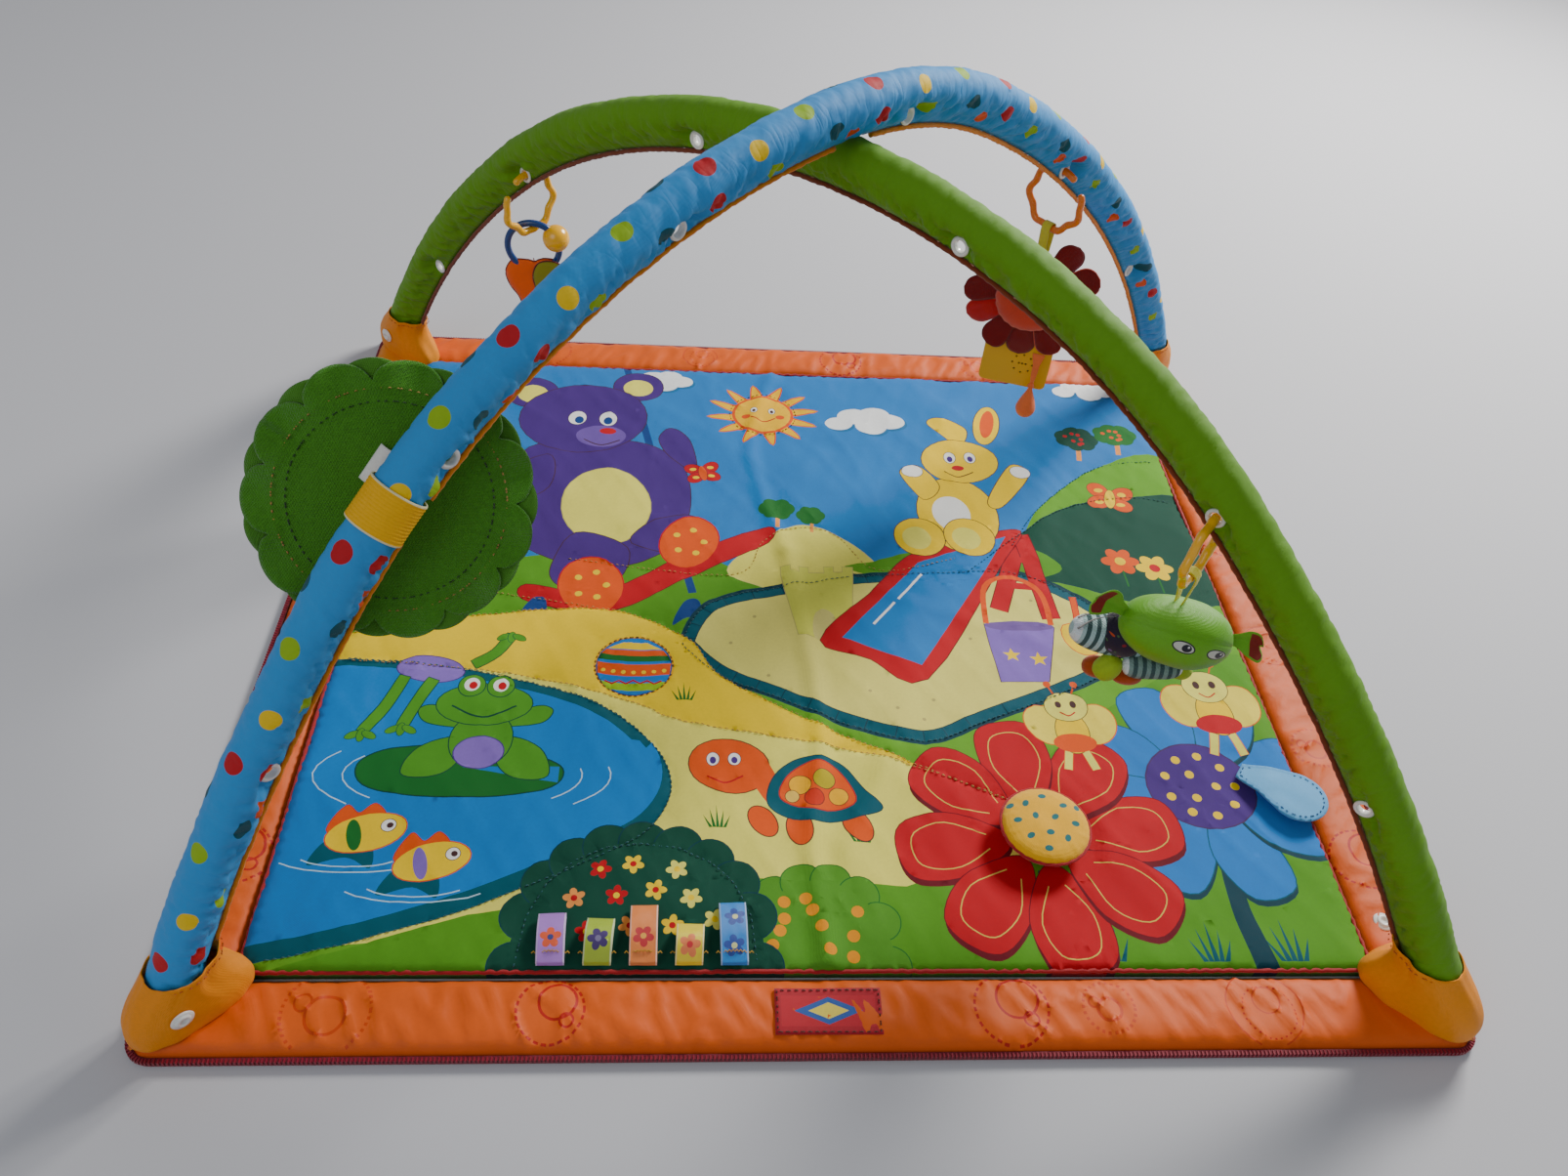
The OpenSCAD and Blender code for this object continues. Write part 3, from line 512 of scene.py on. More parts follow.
def butterfly(x, y, s, wing, body, turn=0.0):
    for k, (ang, r) in enumerate(((0.7, 10), (2.4, 10), (-0.6, 8), (3.7, 8))):
        pic.add(oval(x + r * s * cos(ang + turn), y + r * s * sin(ang + turn), 8 * s, 6 * s, degrees(ang + turn)), wing, d["ink"], 0.5)
        pic.add(oval(x + r * s * cos(ang + turn), y + r * s * sin(ang + turn), 3 * s, 2 * s, n=10), d["yellow"])
    pic.add(oval(x, y, 3.4 * s, 9 * s, degrees(turn)), body, d["ink"], 0.4)
butterfly(-85, 166, 1.1, d["red"], d["orange"], 0.2)
butterfly(304, 146, 1.5, d["orange"], d["yellow"], -0.2)

def blossom(x, y, r, leaf, centre, count=6, turn=0.0):
    for k in range(count):
        a = turn + 2 * pi * k / count
        pic.add(oval(x + r * 0.58 * cos(a), y + r * 0.58 * sin(a), r * 0.46, r * 0.34, degrees(a), 14), leaf)
    pic.add(oval(x, y, r * 0.3, n=12), centre)
for x, y, c in ((292, 58, d["orange"]), (322, 50, d["yellow"])):
    pic.stroke([(x, y - 32), (x, y - 8)], 1.6, d["midGreen"])
    blossom(x, y, 17, c, d["red"] if c is d["yellow"] else d["yellow"])

# sandpit with a castle, a slide, a bucket and a shovel
pic.add(curve([(60, 40), (110, 66), (196, 76), (236, 46), (180, 30)]), d["ground"])
pic.add(grow(pitEdge, 3.5), d["darkTeal"])
pic.add(pitEdge, d["teal"])
pic.add(grow(pitEdge, -10), mixPaint(d["sand"], d["cream"], 0.5), d["darkTeal"], 0.9)
for k in range(0, len(pitEdge), 2):
    a, b = pitEdge[k], grow(pitEdge, -10)[k]
    pic.stroke([a, b], 0.8, d["darkTeal"])
castle = [(-16, 30), (-16, 40), (-8, 40), (-8, 34), (0, 34), (0, 41), (8, 41), (8, 34), (22, 34), (22, 42), (30, 42), (30, 35),
    (38, 35), (38, 42), (47, 42), (46, 28), (40, -44), (-4, -40)]
pic.add(castle, mixPaint(d["cream"], d["lime"], 0.25), mixPaint(d["sand"], d["ink"], 0.35))
pic.add(curve([(10, -42), (10, -18), (18, -10), (27, -18), (28, -42)]), mixPaint(d["sand"], d["ink"], 0.15))
for x, y in ((-40, -20), (-60, -50), (50, -100), (70, -118), (100, -108), (180, -60), (140, -40), (-30, -84), (90, -128), (200, 6)):
    pic.add(oval(x, y, 1.6, n=8), mixPaint(d["sand"], d["ink"], 0.4))
pic.add(stripe([(206, 92), (170, -6)], 15), d["red"], d["darkRed"])
pic.add(stripe([(206, 92), (214, -16)], 15), d["red"], d["darkRed"])
pic.add(stripe([(178, 24), (214, 22)], 8), d["red"])
pic.add(stripe([(188, 56), (212, 56)], 7), d["red"])
pic.add(curve([(98, 58), (150, 80), (208, 98), (178, 44), (98, -86), (54, -66), (14, -44), (60, 10)], True, 4), d["red"], d["darkRed"])
pic.add([(106, 50), (192, 88), (162, 36), (95, -72), (32, -42)], d["sky"])
pic.stroke([(108, 36), (84, 4)], 2.2, d["white"])
pic.stroke([(80, 0), (60, -26)], 2.2, d["white"])

# a long-eared beast at the top of the slide
pic.add(oval(201, 256, 13, 33, -14), d["yellow"], d["ink"])
pic.add(oval(202, 258, 7, 24, -14), d["orange"])
pic.add(curve([(160, 226), (140, 252), (150, 262), (178, 248), (172, 224)]), d["yellow"], d["ink"])
pic.add(oval(152, 118, 38, 52), d["yellow"], d["ink"])
pic.add(oval(146, 118, 18, 25), d["white"])
pic.add(curve([(122, 138), (104, 176), (122, 186), (140, 158)]), d["yellow"], d["ink"])
pic.add(curve([(184, 138), (214, 190), (230, 176), (196, 130)]), d["yellow"], d["ink"])
for x, y in ((116, 178), (222, 180)):
    pic.add(oval(x, y, 10, 9), d["white"], d["ink"], 0.6)
pic.add(oval(165, 196, 38, 32, 8), d["yellow"], d["ink"])
for x in (156, 176):
    pic.add(oval(x, 202, 5.5, 8), d["white"], d["ink"], 0.6)
    pic.add(oval(x, 200, 2.8, 4.4, n=12), d["purple"])
pic.add(oval(162, 186, 6, 4), d["red"])
pic.stroke(curve([(148, 180), (160, 172), (176, 180)], False), 1.3, d["ink"])
for x, y in ((112, 84), (158, 86)):
    pic.add(oval(x, y, 23, 25, 10), d["yellow"], d["ink"])
    pic.add(oval(x - 3, y - 2, 13, 15, 10), d["cream"])

pic.add([(154, -24), (214, -26), (198, -86), (158, -88)], d["lilac"], d["ink"])
pic.add(oval(184, -25, 30, 6), mixPaint(d["lilac"], d["ink"], 0.4))
pic.stroke(curve([(156, -22), (162, 22), (188, 34), (210, 16), (212, -22)], False), 5, d["orange"])
for x, y in ((172, -58), (194, -62)):
    pic.add([(x + (8 if k % 2 == 0 else 3.4) * sin(k * pi / 5), y + (8 if k % 2 == 0 else 3.4) * cos(k * pi / 5))
        for k in range(10)], d["yellow"])
pic.add(stripe([(238, 12), (236, -22)], 5), d["orange"], d["red"])
pic.add(curve([(222, -24), (250, -22), (250, -48), (236, -58), (222, -48)], True, 4), d["yellow"], d["orange"])

# yellow path, cream field and pond
pic.add(pathTop + pathLow[::-1], d["path"])
pic.add(pathLow + [(190, -260), (100, -290), (-90, -300)] + pondShore[::-1][6:-6], d["cream"])
pic.add(curve([(150, -204), (260, -100), (380, -60), (380, -260), (180, -300)]), d["ground"])
pic.add([(-60, -268), (60, -274), (120, -252), (220, -240), (372, -256), (372, -340), (-372, -340), (-310, -322), (-234, -296)],
    d["ground"])
pic.add(pondShore + [(-372, -300)], d["teal"])
inner = [(x - 7, y + (3 if y > -150 else 9)) for x, y in pondShore]
pic.add([(max(-372, x), y - (10 if y > -150 else -2)) for x, y in inner] + [(-372, -200)], d["pond"])

# ball in its window
ball = (-137, -76)
pic.add(oval(*ball, 32), mixPaint(d["path"], d["orange"], 0.35))
pic.add(oval(*ball, 29.5), d["petalBlue"], d["blueDark"])
def bandOn(c, r, low, high, colour):
    low, high = low / r, high / r
    top = [(c[0] + r * x, c[1] + r * high - 4 * (1 - x * x)) for x in [sqrt(1 - high * high) * (2 * k / 10 - 1) for k in range(11)]]
    bottom = [(c[0] + r * x, c[1] + r * low - 4 * (1 - x * x)) for x in [sqrt(1 - low * low) * (1 - 2 * k / 10) for k in range(11)]]
    pic.add(top + bottom, colour)
for low, high, c in ((20, 28, d["yellow"]), (13, 19, d["orange"]), (7, 13, d["midGreen"]), (-8, 4, d["orange"]),
        (-14, -9, d["petalBlue"]), (-22, -15, d["lime"])):
    bandOn(ball, 29.5, low, high, c)
for k in range(7):
    pic.add(oval(ball[0] - 24 + 8 * k, ball[1] - 5 - 3 * (1 - ((k - 3) / 3) ** 2), 1.9, n=10), d["yellow"])
pic.stroke([(ball[0] - 22 + 5.5 * k, ball[1] - 16 - (3 if k % 2 else 0)) for k in range(9)], 1.4, d["red"])

def grass(x, y, s, colour=None):
    for k, lean in enumerate((-10, -5, 0, 6, 11)):
        h = (14, 20, 24, 19, 13)[k] * s
        pic.add([(x + (k - 2.6) * 3 * s, y), (x + (k - 2.6) * 3 * s + lean * s * 0.6, y + h), (x + (k - 1.6) * 3 * s, y)],
            colour or d["midGreen"])
for x, y, s in ((-96, -112, 0.8), (-70, -228, 0.8), (32, -240, 0.8)):
    grass(x, y, s)
for x, s in ((192, 1.3), (318, 1.3), (264, 1.2)):
    grass(x, -330, s, d["teal"])

# a pond dweller on its lily leaf, fish and ripples
pic.add(curve([(-330, -176), (-318, -196), (-262, -204), (-196, -196), (-184, -178), (-210, -166), (-262, -158), (-310, -162)]),
    d["midGreen"], d["darkGreen"], 1.2)
pic.add([(-256, -178), (-186, -190), (-186, -176)], d["pond"])
for r in (74, 92):
    for a0, a1 in ((-0.7, 0.2), (2.6, 3.9)):
        pic.stroke([(-254 + r * 1.15 * cos(a0 + (a1 - a0) * k / 7), -184 + r * 0.42 * sin(a0 + (a1 - a0) * k / 7))
            for k in range(8)], 0.9, d["ripple"])
for s in (-1, 1):
    pic.add(curve([(-246 + s * 16, -150), (-246 + s * 44, -160), (-246 + s * 52, -184), (-246 + s * 28, -186),
        (-246 + s * 14, -172)]), d["frog"], d["darkGreen"])
    pic.add(curve([(-246 + s * 14, -140), (-246 + s * 42, -136), (-246 + s * 50, -124), (-246 + s * 38, -120),
        (-246 + s * 16, -130)]), d["frog"], d["darkGreen"])
pic.add(oval(-246, -152, 23, 27), d["frog"], d["darkGreen"])
pic.add(oval(-246, -164, 18, 15), d["lilac"], d["purple"])
pic.add(oval(-248, -118, 36, 20), d["frog"], d["darkGreen"])
for x in (-260, -238):
    pic.add(oval(x, -100, 10, 11), d["frog"], d["darkGreen"])
    pic.add(oval(x, -99, 6, 7), d["white"])
    pic.add(oval(x + 1, -100, 3.2, 4, n=12), d["red"])
pic.stroke(curve([(-272, -120), (-248, -131), (-224, -120)], False), 1.5, d["darkGreen"])
# a diver's legs and arm beyond the leaf
pic.add(oval(-294, -84, 26, 13, -6), d["lilac"], d["purple"])
for a in ([(-312, -92), (-322, -122), (-334, -146)], [(-290, -94), (-300, -120), (-306, -140)], [(-262, -78), (-246, -66), (-236, -46)]):
    pic.add(stripe(curve(a, False, 4), 9), d["frog"], d["darkGreen"])
    for k in (-1, 0, 1):
        pic.add(oval(a[2][0] + 6 * k, a[2][1] - 3, 6, 3, 60 * k + 90, 12), d["frog"], d["darkGreen"], 0.5)
for x, y, s in ((-312, -234, 1.0), (-264, -256, 0.95)):
    pic.add(curve([(x - 22 * s, y - 4), (x - 34 * s, y - 26), (x - 10 * s, y - 20), (x + 8 * s, y - 28), (x + 4 * s, y - 8)]), d["teal"])
    pic.add(curve([(x - 26 * s, y), (x - 18 * s, y + 22 * s), (x - 8 * s, y + 16 * s), (x + 2 * s, y + 24 * s),
        (x + 10 * s, y + 10 * s)]), d["orange"], d["red"], 0.5)
    pic.add(oval(x, y, 27 * s, 15 * s, 14), d["yellow"], d["orange"])
    pic.add(oval(x - 8 * s, y - 2 * s, 5 * s, 13 * s, 14), d["midGreen"] if x < -290 else d["lilac"])
    pic.add(oval(x + 14 * s, y + 6 * s, 5 * s), d["white"], d["ink"], 0.5)
    pic.add(oval(x + 15 * s, y + 6 * s, 2.4 * s, n=10), d["ink"])
    for r in (26, 38):
        pic.stroke([(x - 8 + r * 1.3 * cos(3.6 + 2.2 * k / 8), y - 18 + r * 0.36 * sin(3.6 + 2.2 * k / 8)) for k in range(9)], 0.9,
            d["ripple"])

# a slow walker with a patched shell
for x, y, turn in ((-38, -222, 30), (-12, -228, 10), (30, -226, 30)):
    pic.add(oval(x, y, 9, 14, turn), d["orange"], d["ink"])
pic.add(oval(-62, -174, 30, 24, -14), d["orange"], d["ink"])
pic.add(curve([(-46, -184), (-28, -214), (-18, -206), (-36, -168)]), d["orange"])
pic.add(curve([(-34, -206), (-28, -182), (-6, -166), (20, -170), (38, -196), (48, -212), (10, -222), (-20, -218)]), d["teal"],
    d["darkTeal"])
pic.add(curve([(-24, -202), (-18, -182), (0, -170), (18, -176), (30, -204), (4, -212)]), d["orange"], d["red"])
for x, y, r, c in ((-10, -190, 8, d["yellow"]), (8, -186, 8, d["lime"]), (18, -200, 7, d["yellow"]), (0, -202, 7, d["red"]),
        (-16, -200, 5, d["cream"])):
    pic.add(oval(x, y, r), mixPaint(c, d["orange"], 0.35), d["ink"], 0.5)
for x in (-74, -58):
    pic.add(oval(x, -168, 4.6, 6), d["white"], d["ink"], 0.5)
    pic.add(oval(x, -169, 2.4, 3.4, n=12), d["purple"])
pic.stroke(curve([(-78, -184), (-66, -190), (-52, -184)], False), 1.3, d["red"])

# bushes along the front
for (x, y), r in lightBushLobes:
    pic.add(oval(x, y, r), mixPaint(d["lightGreen"], d["midGreen"], 0.35), d["midGreen"])
pic.add(oval(-3, -333, 50, 62), mixPaint(d["lightGreen"], d["midGreen"], 0.35))
for k in range(15):
    x, y = -34 + 31 * (k % 3) + 9 * sin(k * 2.3), -322 + 13 * (k // 3) + 4 * cos(k * 1.7)
    if hypot((x + 3) / 50, (y + 333) / 60) < 0.92:
        pic.add(oval(x, y, 4.4, n=14), mixPaint(d["orange"], d["yellow"], 0.4))
for (x, y), r in bushLobes:
    pic.add(oval(x, y, r), d["darkGreen"], d["darkTeal"])
pic.add(oval(-122, -333, 84, 94), d["darkGreen"])
for k, (x, y) in enumerate(((-150, -262), (-128, -258), (-98, -262), (-166, -284), (-138, -282), (-112, -278), (-88, -284),
        (-180, -306), (-156, -308), (-100, -304), (-72, -300), (-128, -304))):
    blossom(x, y, 7.5, (d["red"], d["yellow"], d["cream"], d["peach"])[k % 4], (d["yellow"], d["red"])[k % 2], 5, k)

# blue flower, stems and the big red flower
pic.add(stripe(curve([(160, -262), (156, -300), (164, -337)], False), 11, 1.4), d["darkTeal"])
pic.add(stripe(curve([(296, -230), (292, -290), (298, -337)], False), 11, 1.5), d["darkTeal"])
for k in range(8):
    a = 2 * pi * k / 8 + 0.28
    p = [(blueAt[0] + r * cos(a + w), blueAt[1] + r * sin(a + w)) for r,
        w in ((22, -0.3), (62, -0.42), (96, -0.16), (96, 0.2), (60, 0.4), (22, 0.3))]
    pic.add(curve([(x, y - 5) for x, y in p], True, 5), d["darkTeal"])
    pic.add(curve(p, True, 5), d["petalBlue"], d["teal"], 0.9)
pic.add(oval(*blueAt, 41, 38), d["purple"], mixPaint(d["purple"], d["ink"], 0.5), 1.2)
for k in range(12):
    r, a = (12, k * 2.1) if k < 3 else (27, k * 0.7)
    pic.add(oval(blueAt[0] + r * cos(a), blueAt[1] + r * sin(a), 3.6, n=14), d["yellow"])
for k in range(8):
    a = 2 * pi * k / 8 + 0.1
    p = [(flowerAt[0] + r * cos(a + w), flowerAt[1] + r * sin(a + w)) for r,
        w in ((28, -0.3), (70, -0.4), (102, -0.2), (106, 0.06), (98, 0.26), (66, 0.4), (28, 0.3))]
    pic.add(curve([(x, y - 5) for x, y in p], True, 5), d["darkRed"])
    pic.add(curve(p, True, 5), d["red"], d["darkRed"], 0.7)
    q = [(flowerAt[0] + r * cos(a + w), flowerAt[1] + r * sin(a + w)) for r,
        w in ((40, -0.16), (70, -0.28), (92, -0.14), (95, 0.04), (89, 0.18), (66, 0.28), (40, 0.14))]
    pic.stroke(curve(q, False, 4), 0.9, mixPaint(d["red"], d["cream"], 0.7))

# two small flyers
for x, y, s, skirt in ((206, -132, 1.0, d["orange"]), (326, -112, 1.1, d["red"])):
    for dx in (-1, 1):
        pic.add(oval(x + dx * 20 * s, y + 2, 16 * s, 20 * s, -dx * 20), mixPaint(d["cream"], d["yellow"], 0.4), d["orange"])
        pic.stroke([(x + dx * 5 * s, y + 28 * s), (x + dx * 11 * s, y + 42 * s)], 1.4, d["orange"])
        pic.add(oval(x + dx * 11 * s, y + 43 * s, 3.2 * s, n=12), d["orange"])
        pic.add(stripe([(x + dx * 6 * s, y - 22 * s), (x + dx * 11 * s, y - 42 * s)], 6 * s), d["cream"], d["orange"], 0.6)
    pic.add(oval(x, y - 6 * s, 13 * s, 20 * s), d["yellow"], d["ink"], 0.6)
    pic.add(oval(x, y - 16 * s, 17 * s, 9 * s), skirt)
    pic.add(oval(x, y + 20 * s, 17 * s, 15 * s), d["cream"], d["ink"], 0.6)
    for dx in (-1, 1):
        pic.add(oval(x + dx * 6 * s, y + 22 * s, 2.6 * s, 3.8 * s, n=12), d["ink"])
    pic.stroke(curve([(x - 6 * s, y + 14 * s), (x, y + 10 * s), (x + 6 * s, y + 14 * s)], False, 3), 1.2, d["red"])
print("picture drawn:", len(pic.shapes), "shapes")

# ---------- mat ----------

# in mm; each flat place has its middle, its radius and the most that the panel may rise there
mat = {"puff": 2.2, "grid": 5.0, "top": 12.5, "underCushion": (flowerAt, 38, 12.2), "underPetalFold": ((326, -176), 18, 12.0)}
quiltLines = [pondShore, pathTop, pathLow, closeLine(pitEdge), closeLine(oval(*ball, 31)), closeLine(oval(*sun, 33)),
    curve([(150, 40), (206, 92), (262, 134), (327, 150), (372, 142)], False), curve([(196, 76), (232, 130), (300, 192), (372, 204)], False),
    [p for p, r in bushLobes], curve([(-200, 46), (-60, 30), (-30, 76), (4, 94), (36, 84), (70, 40), (150, 60)], False),
    curve([(-372, 30), (-290, 10), (-164, -14)], False)]
creases = [([(-14, 340), (-40, 205), (-10, 60)], 2.8, 7), ([(-10, 60), (8, -132), (-4, -240), (4, -336)], 4.2, 8),
    ([(60, -160), (20, -250), (-6, -336)], 2.2, 9),
    ([(30, 200), (-60, 120), (-150, 90)], 1.7, 9), ([(200, 330), (150, 240), (110, 150)], 1.6, 12),
        ([(330, 300), (250, 180), (220, 60)], 1.8, 11),
    ([(-170, -250), (-90, -200), (0, -150)], 1.8, 10), ([(90, -60), (60, -170), (10, -330)], 1.5, 14),
        ([(-330, 60), (-200, 0), (-120, -90)], 1.2, 13),
    ([(240, -60), (120, -10), (40, 30)], 1.4, 9), ([(-372, -300), (-250, -200), (-180, -60)], 1.0, 16)]

def matHeights(pts):
    seamGap, seamRun = distanceTo(quiltLines, pts)
    edgeGap = np.minimum(half["w"] - np.abs(pts[:, 0]), half["d"] - np.abs(pts[:, 1]))
    z = np.full(len(pts), mat["top"])
    for i, (x, y) in enumerate(pts):
        soft = wobble(x / 95, y / 95, 3.1) + 0.5 * wobble(x / 44, y / 40, 7.7)
        streak = 1 - abs(wobble((x * 0.86 + y * 0.5) / 24, (y * 0.86 - x * 0.5) / 130, 1.3)) * 2
        streak2 = 1 - abs(wobble((x * 0.95 - y * 0.3) / 17, (y * 0.95 + x * 0.3) / 90, 9.3)) * 2
        z[i] += mat["puff"] * soft + 0.75 * max(0, streak) ** 3 + 0.5 * max(0, streak2) ** 4
    for line, high, wide in creases:
        gap, run = distanceTo([curve(line, False, 5)], pts)
        z += high * np.exp(-(gap / wide) ** 2) - 0.35 * high * np.exp(-(gap / (2.6 * wide)) ** 2)
    z += 1.6 * (1 - np.exp(-seamGap / 9)) - 1.4
    z += 0.55 * np.sin(seamRun * 2 * pi / 7.5) * np.exp(-seamGap / 5.5)
    side = np.where(half["w"] - np.abs(pts[:, 0]) < half["d"] - np.abs(pts[:, 1]), pts[:, 1], pts[:, 0])
    z += 0.7 * np.sin(side * 2 * pi / 8.5) * np.exp(-edgeGap / 7) - 2.6 * np.exp(-edgeGap / 5)
    for (x, y), reach, top in (mat["underCushion"], mat["underPetalFold"]):
        near = np.clip((reach + 12 - np.hypot(pts[:, 0] - x, pts[:, 1] - y)) / 12, 0, 1)
        z -= np.maximum(z - top, 0) * near
    return np.maximum(z, 5.0)

def closeBelow(obj, floorZ):  # walls down from the open edge, and a flat underside
    bm = openMesh(obj)
    edge = [e for e in bm.edges if len(e.link_faces) == 1]
    made = bmesh.ops.extrude_edge_only(bm, edges=edge)["geom"]
    low = [v for v in made if isinstance(v, bmesh.types.BMVert)]
    for v in low:
        v.co.z = floorZ
    rim = [e for e in made if isinstance(e, bmesh.types.BMEdge)]
    bmesh.ops.contextual_create(bm, geom=rim)
    closeMesh(obj, bm)

verts, faces, colours = cutPrint([(-370, -335), (370, -335), (370, 335), (-370, 335)], d["sky"], pic.shapes, mat["grid"])
heights = matHeights(np.array(verts))
printCotton = cloth("printedCotton", attribute="printColour", threads=1100, weave=0.3, rough=0.74, sheen=0.03, fade=0.12,
    fleck=0.14, gloss=0.22)
panel = makePiece("quiltedPanel", [(x / 1000, y / 1000, z / 1000) for (x, y), z in zip(verts, heights)], faces, [printCotton],
    "mat", ["play_panel"])
dye(panel, colours)
closeBelow(panel, 0.0004)
print("quilted panel:", len(panel.data.polygons), "faces")

# stitches: a row of short threads along a path
def threadRun(name, path, material, body, stitch=0.0032, gap=0.0014, thick=0.0005, lift=0.0002):
    vs, fs = [], []
    left, on = stitch, True
    for a, b in zip(path, path[1:]):
        a, b = Vector(a), Vector(b)
        l, at = (b - a).length, 0.0
        if l < 1e-9:
            continue
        step = (b - a) / l
        sideDir = step.cross(Vector((0, 0, 1)))
        sideDir = (sideDir if sideDir.length > 1e-3 else Vector((1, 0, 0))).normalized() * thick
        upDir = step.cross(sideDir).normalized() * thick
        while l - at > 1e-9:
            move = min(left, l - at)
            if on and move > stitch * 0.4:
                p, q = a + step * at, a + step * (at + move)
                k = len(vs)
                mid = (p + q) / 2 - upDir * (1 + lift / thick) * (1 if upDir.z < 0 else -1)
                vs += [p + sideDir * 0.6, p - sideDir * 0.6, mid + sideDir, mid - sideDir,
                    mid + sideDir * 0.5 - upDir * (1 if upDir.z < 0 else -1) * 0.5,
                    mid - sideDir * 0.5 - upDir * (1 if upDir.z < 0 else -1) * 0.5, q + sideDir * 0.6, q - sideDir * 0.6]
                fs += [(k, k + 1, k + 3, k + 2), (k + 2, k + 3, k + 7, k + 6), (k, k + 2, k + 4), (k + 2, k + 6, k + 4),
                    (k + 1, k + 5, k + 3), (k + 3, k + 5, k + 7), (k, k + 4, k + 5, k + 1), (k + 4, k + 6, k + 7, k + 5)]
            at, left = at + move, left - move
            if left < 1e-9:
                on = not on
                left = stitch if on else gap
    obj = makePiece(name, vs, fs, [material], body)
    faceOut(obj)
    return obj

def sewingThread(name, colour):
    return cloth(name, colour, threads=2500, weave=0.5, rough=0.6, sheen=0.2, fleck=0.3)
threadTan = sewingThread("tanThread", paint(196, 150, 70))
threadDark = sewingThread("darkThread", paint(96, 40, 20))
threadTeal = sewingThread("tealThread", paint(20, 96, 104))
quiltNames = [("Pond", threadTeal), ("PathTop", threadTan), ("PathLow", threadTan), ("Pit", threadTeal), ("Ball", threadDark),
    ("Sun", threadDark), ("DarkHill", threadTeal), ("LightHill", threadTeal), ("Bush", threadTeal), ("Hill", threadTan),
    ("Bank", threadTan)]
for (label, thread), line in zip(quiltNames, quiltLines):
    pts = [p for p in line if abs(p[0]) < 369 and abs(p[1]) < 334]
    fine = []
    for a, b in zip(pts, pts[1:]):
        n = max(1, int(hypot(b[0] - a[0], b[1] - a[1]) / 5))
        fine += [(a[0] + (b[0] - a[0]) * k / n, a[1] + (b[1] - a[1]) * k / n) for k in range(n)]
    zs = matHeights(np.array(fine))
    threadRun("quiltStitch" + label, [(x / 1000, y / 1000, z / 1000 + 0.0003) for (x, y), z in zip(fine, zs)], thread, "mat")

# border: four padded strips with printed rings
border = {"high": 10.5, "grid": 4.0}
orangeGround = paint(222, 92, 6)
rust, rustPale = paint(184, 20, 4), mixPaint(paint(184, 20, 4), orangeGround, 0.45)
def ringMotif(art, x, y, r, kind):
    if kind == 0:
        art.dashes(closeLine(oval(x, y, r, n=40)), 3.2, 1.8, 1.7, rust)
        art.ring(x + r * 0.2, y + r * 0.28, r * 0.56, 1.8, rust)
        art.ring(x + r * 0.5, y - r * 0.32, r * 0.2, 1.5, rust)
    elif kind == 1:
        art.dashes(closeLine(oval(x, y, r, n=40)), 2.0, 2.0, 2.2, rustPale)
        art.ring(x, y - r * 0.1, r * 0.45, 2.0, rustPale)
        art.ring(x - r * 0.55, y + r * 0.2, r * 0.2, 1.4, rustPale)
    else:
        art.ring(x, y, r, 1.0, rustPale, 36)
        art.dashes(closeLine(oval(x + 2, y - 3, r * 0.7, n=30)), 1.3, 2.4, 1.0, rust)
        art.ring(x + r * 0.1, y + r * 0.2, r * 0.36, 1.0, rustPale)

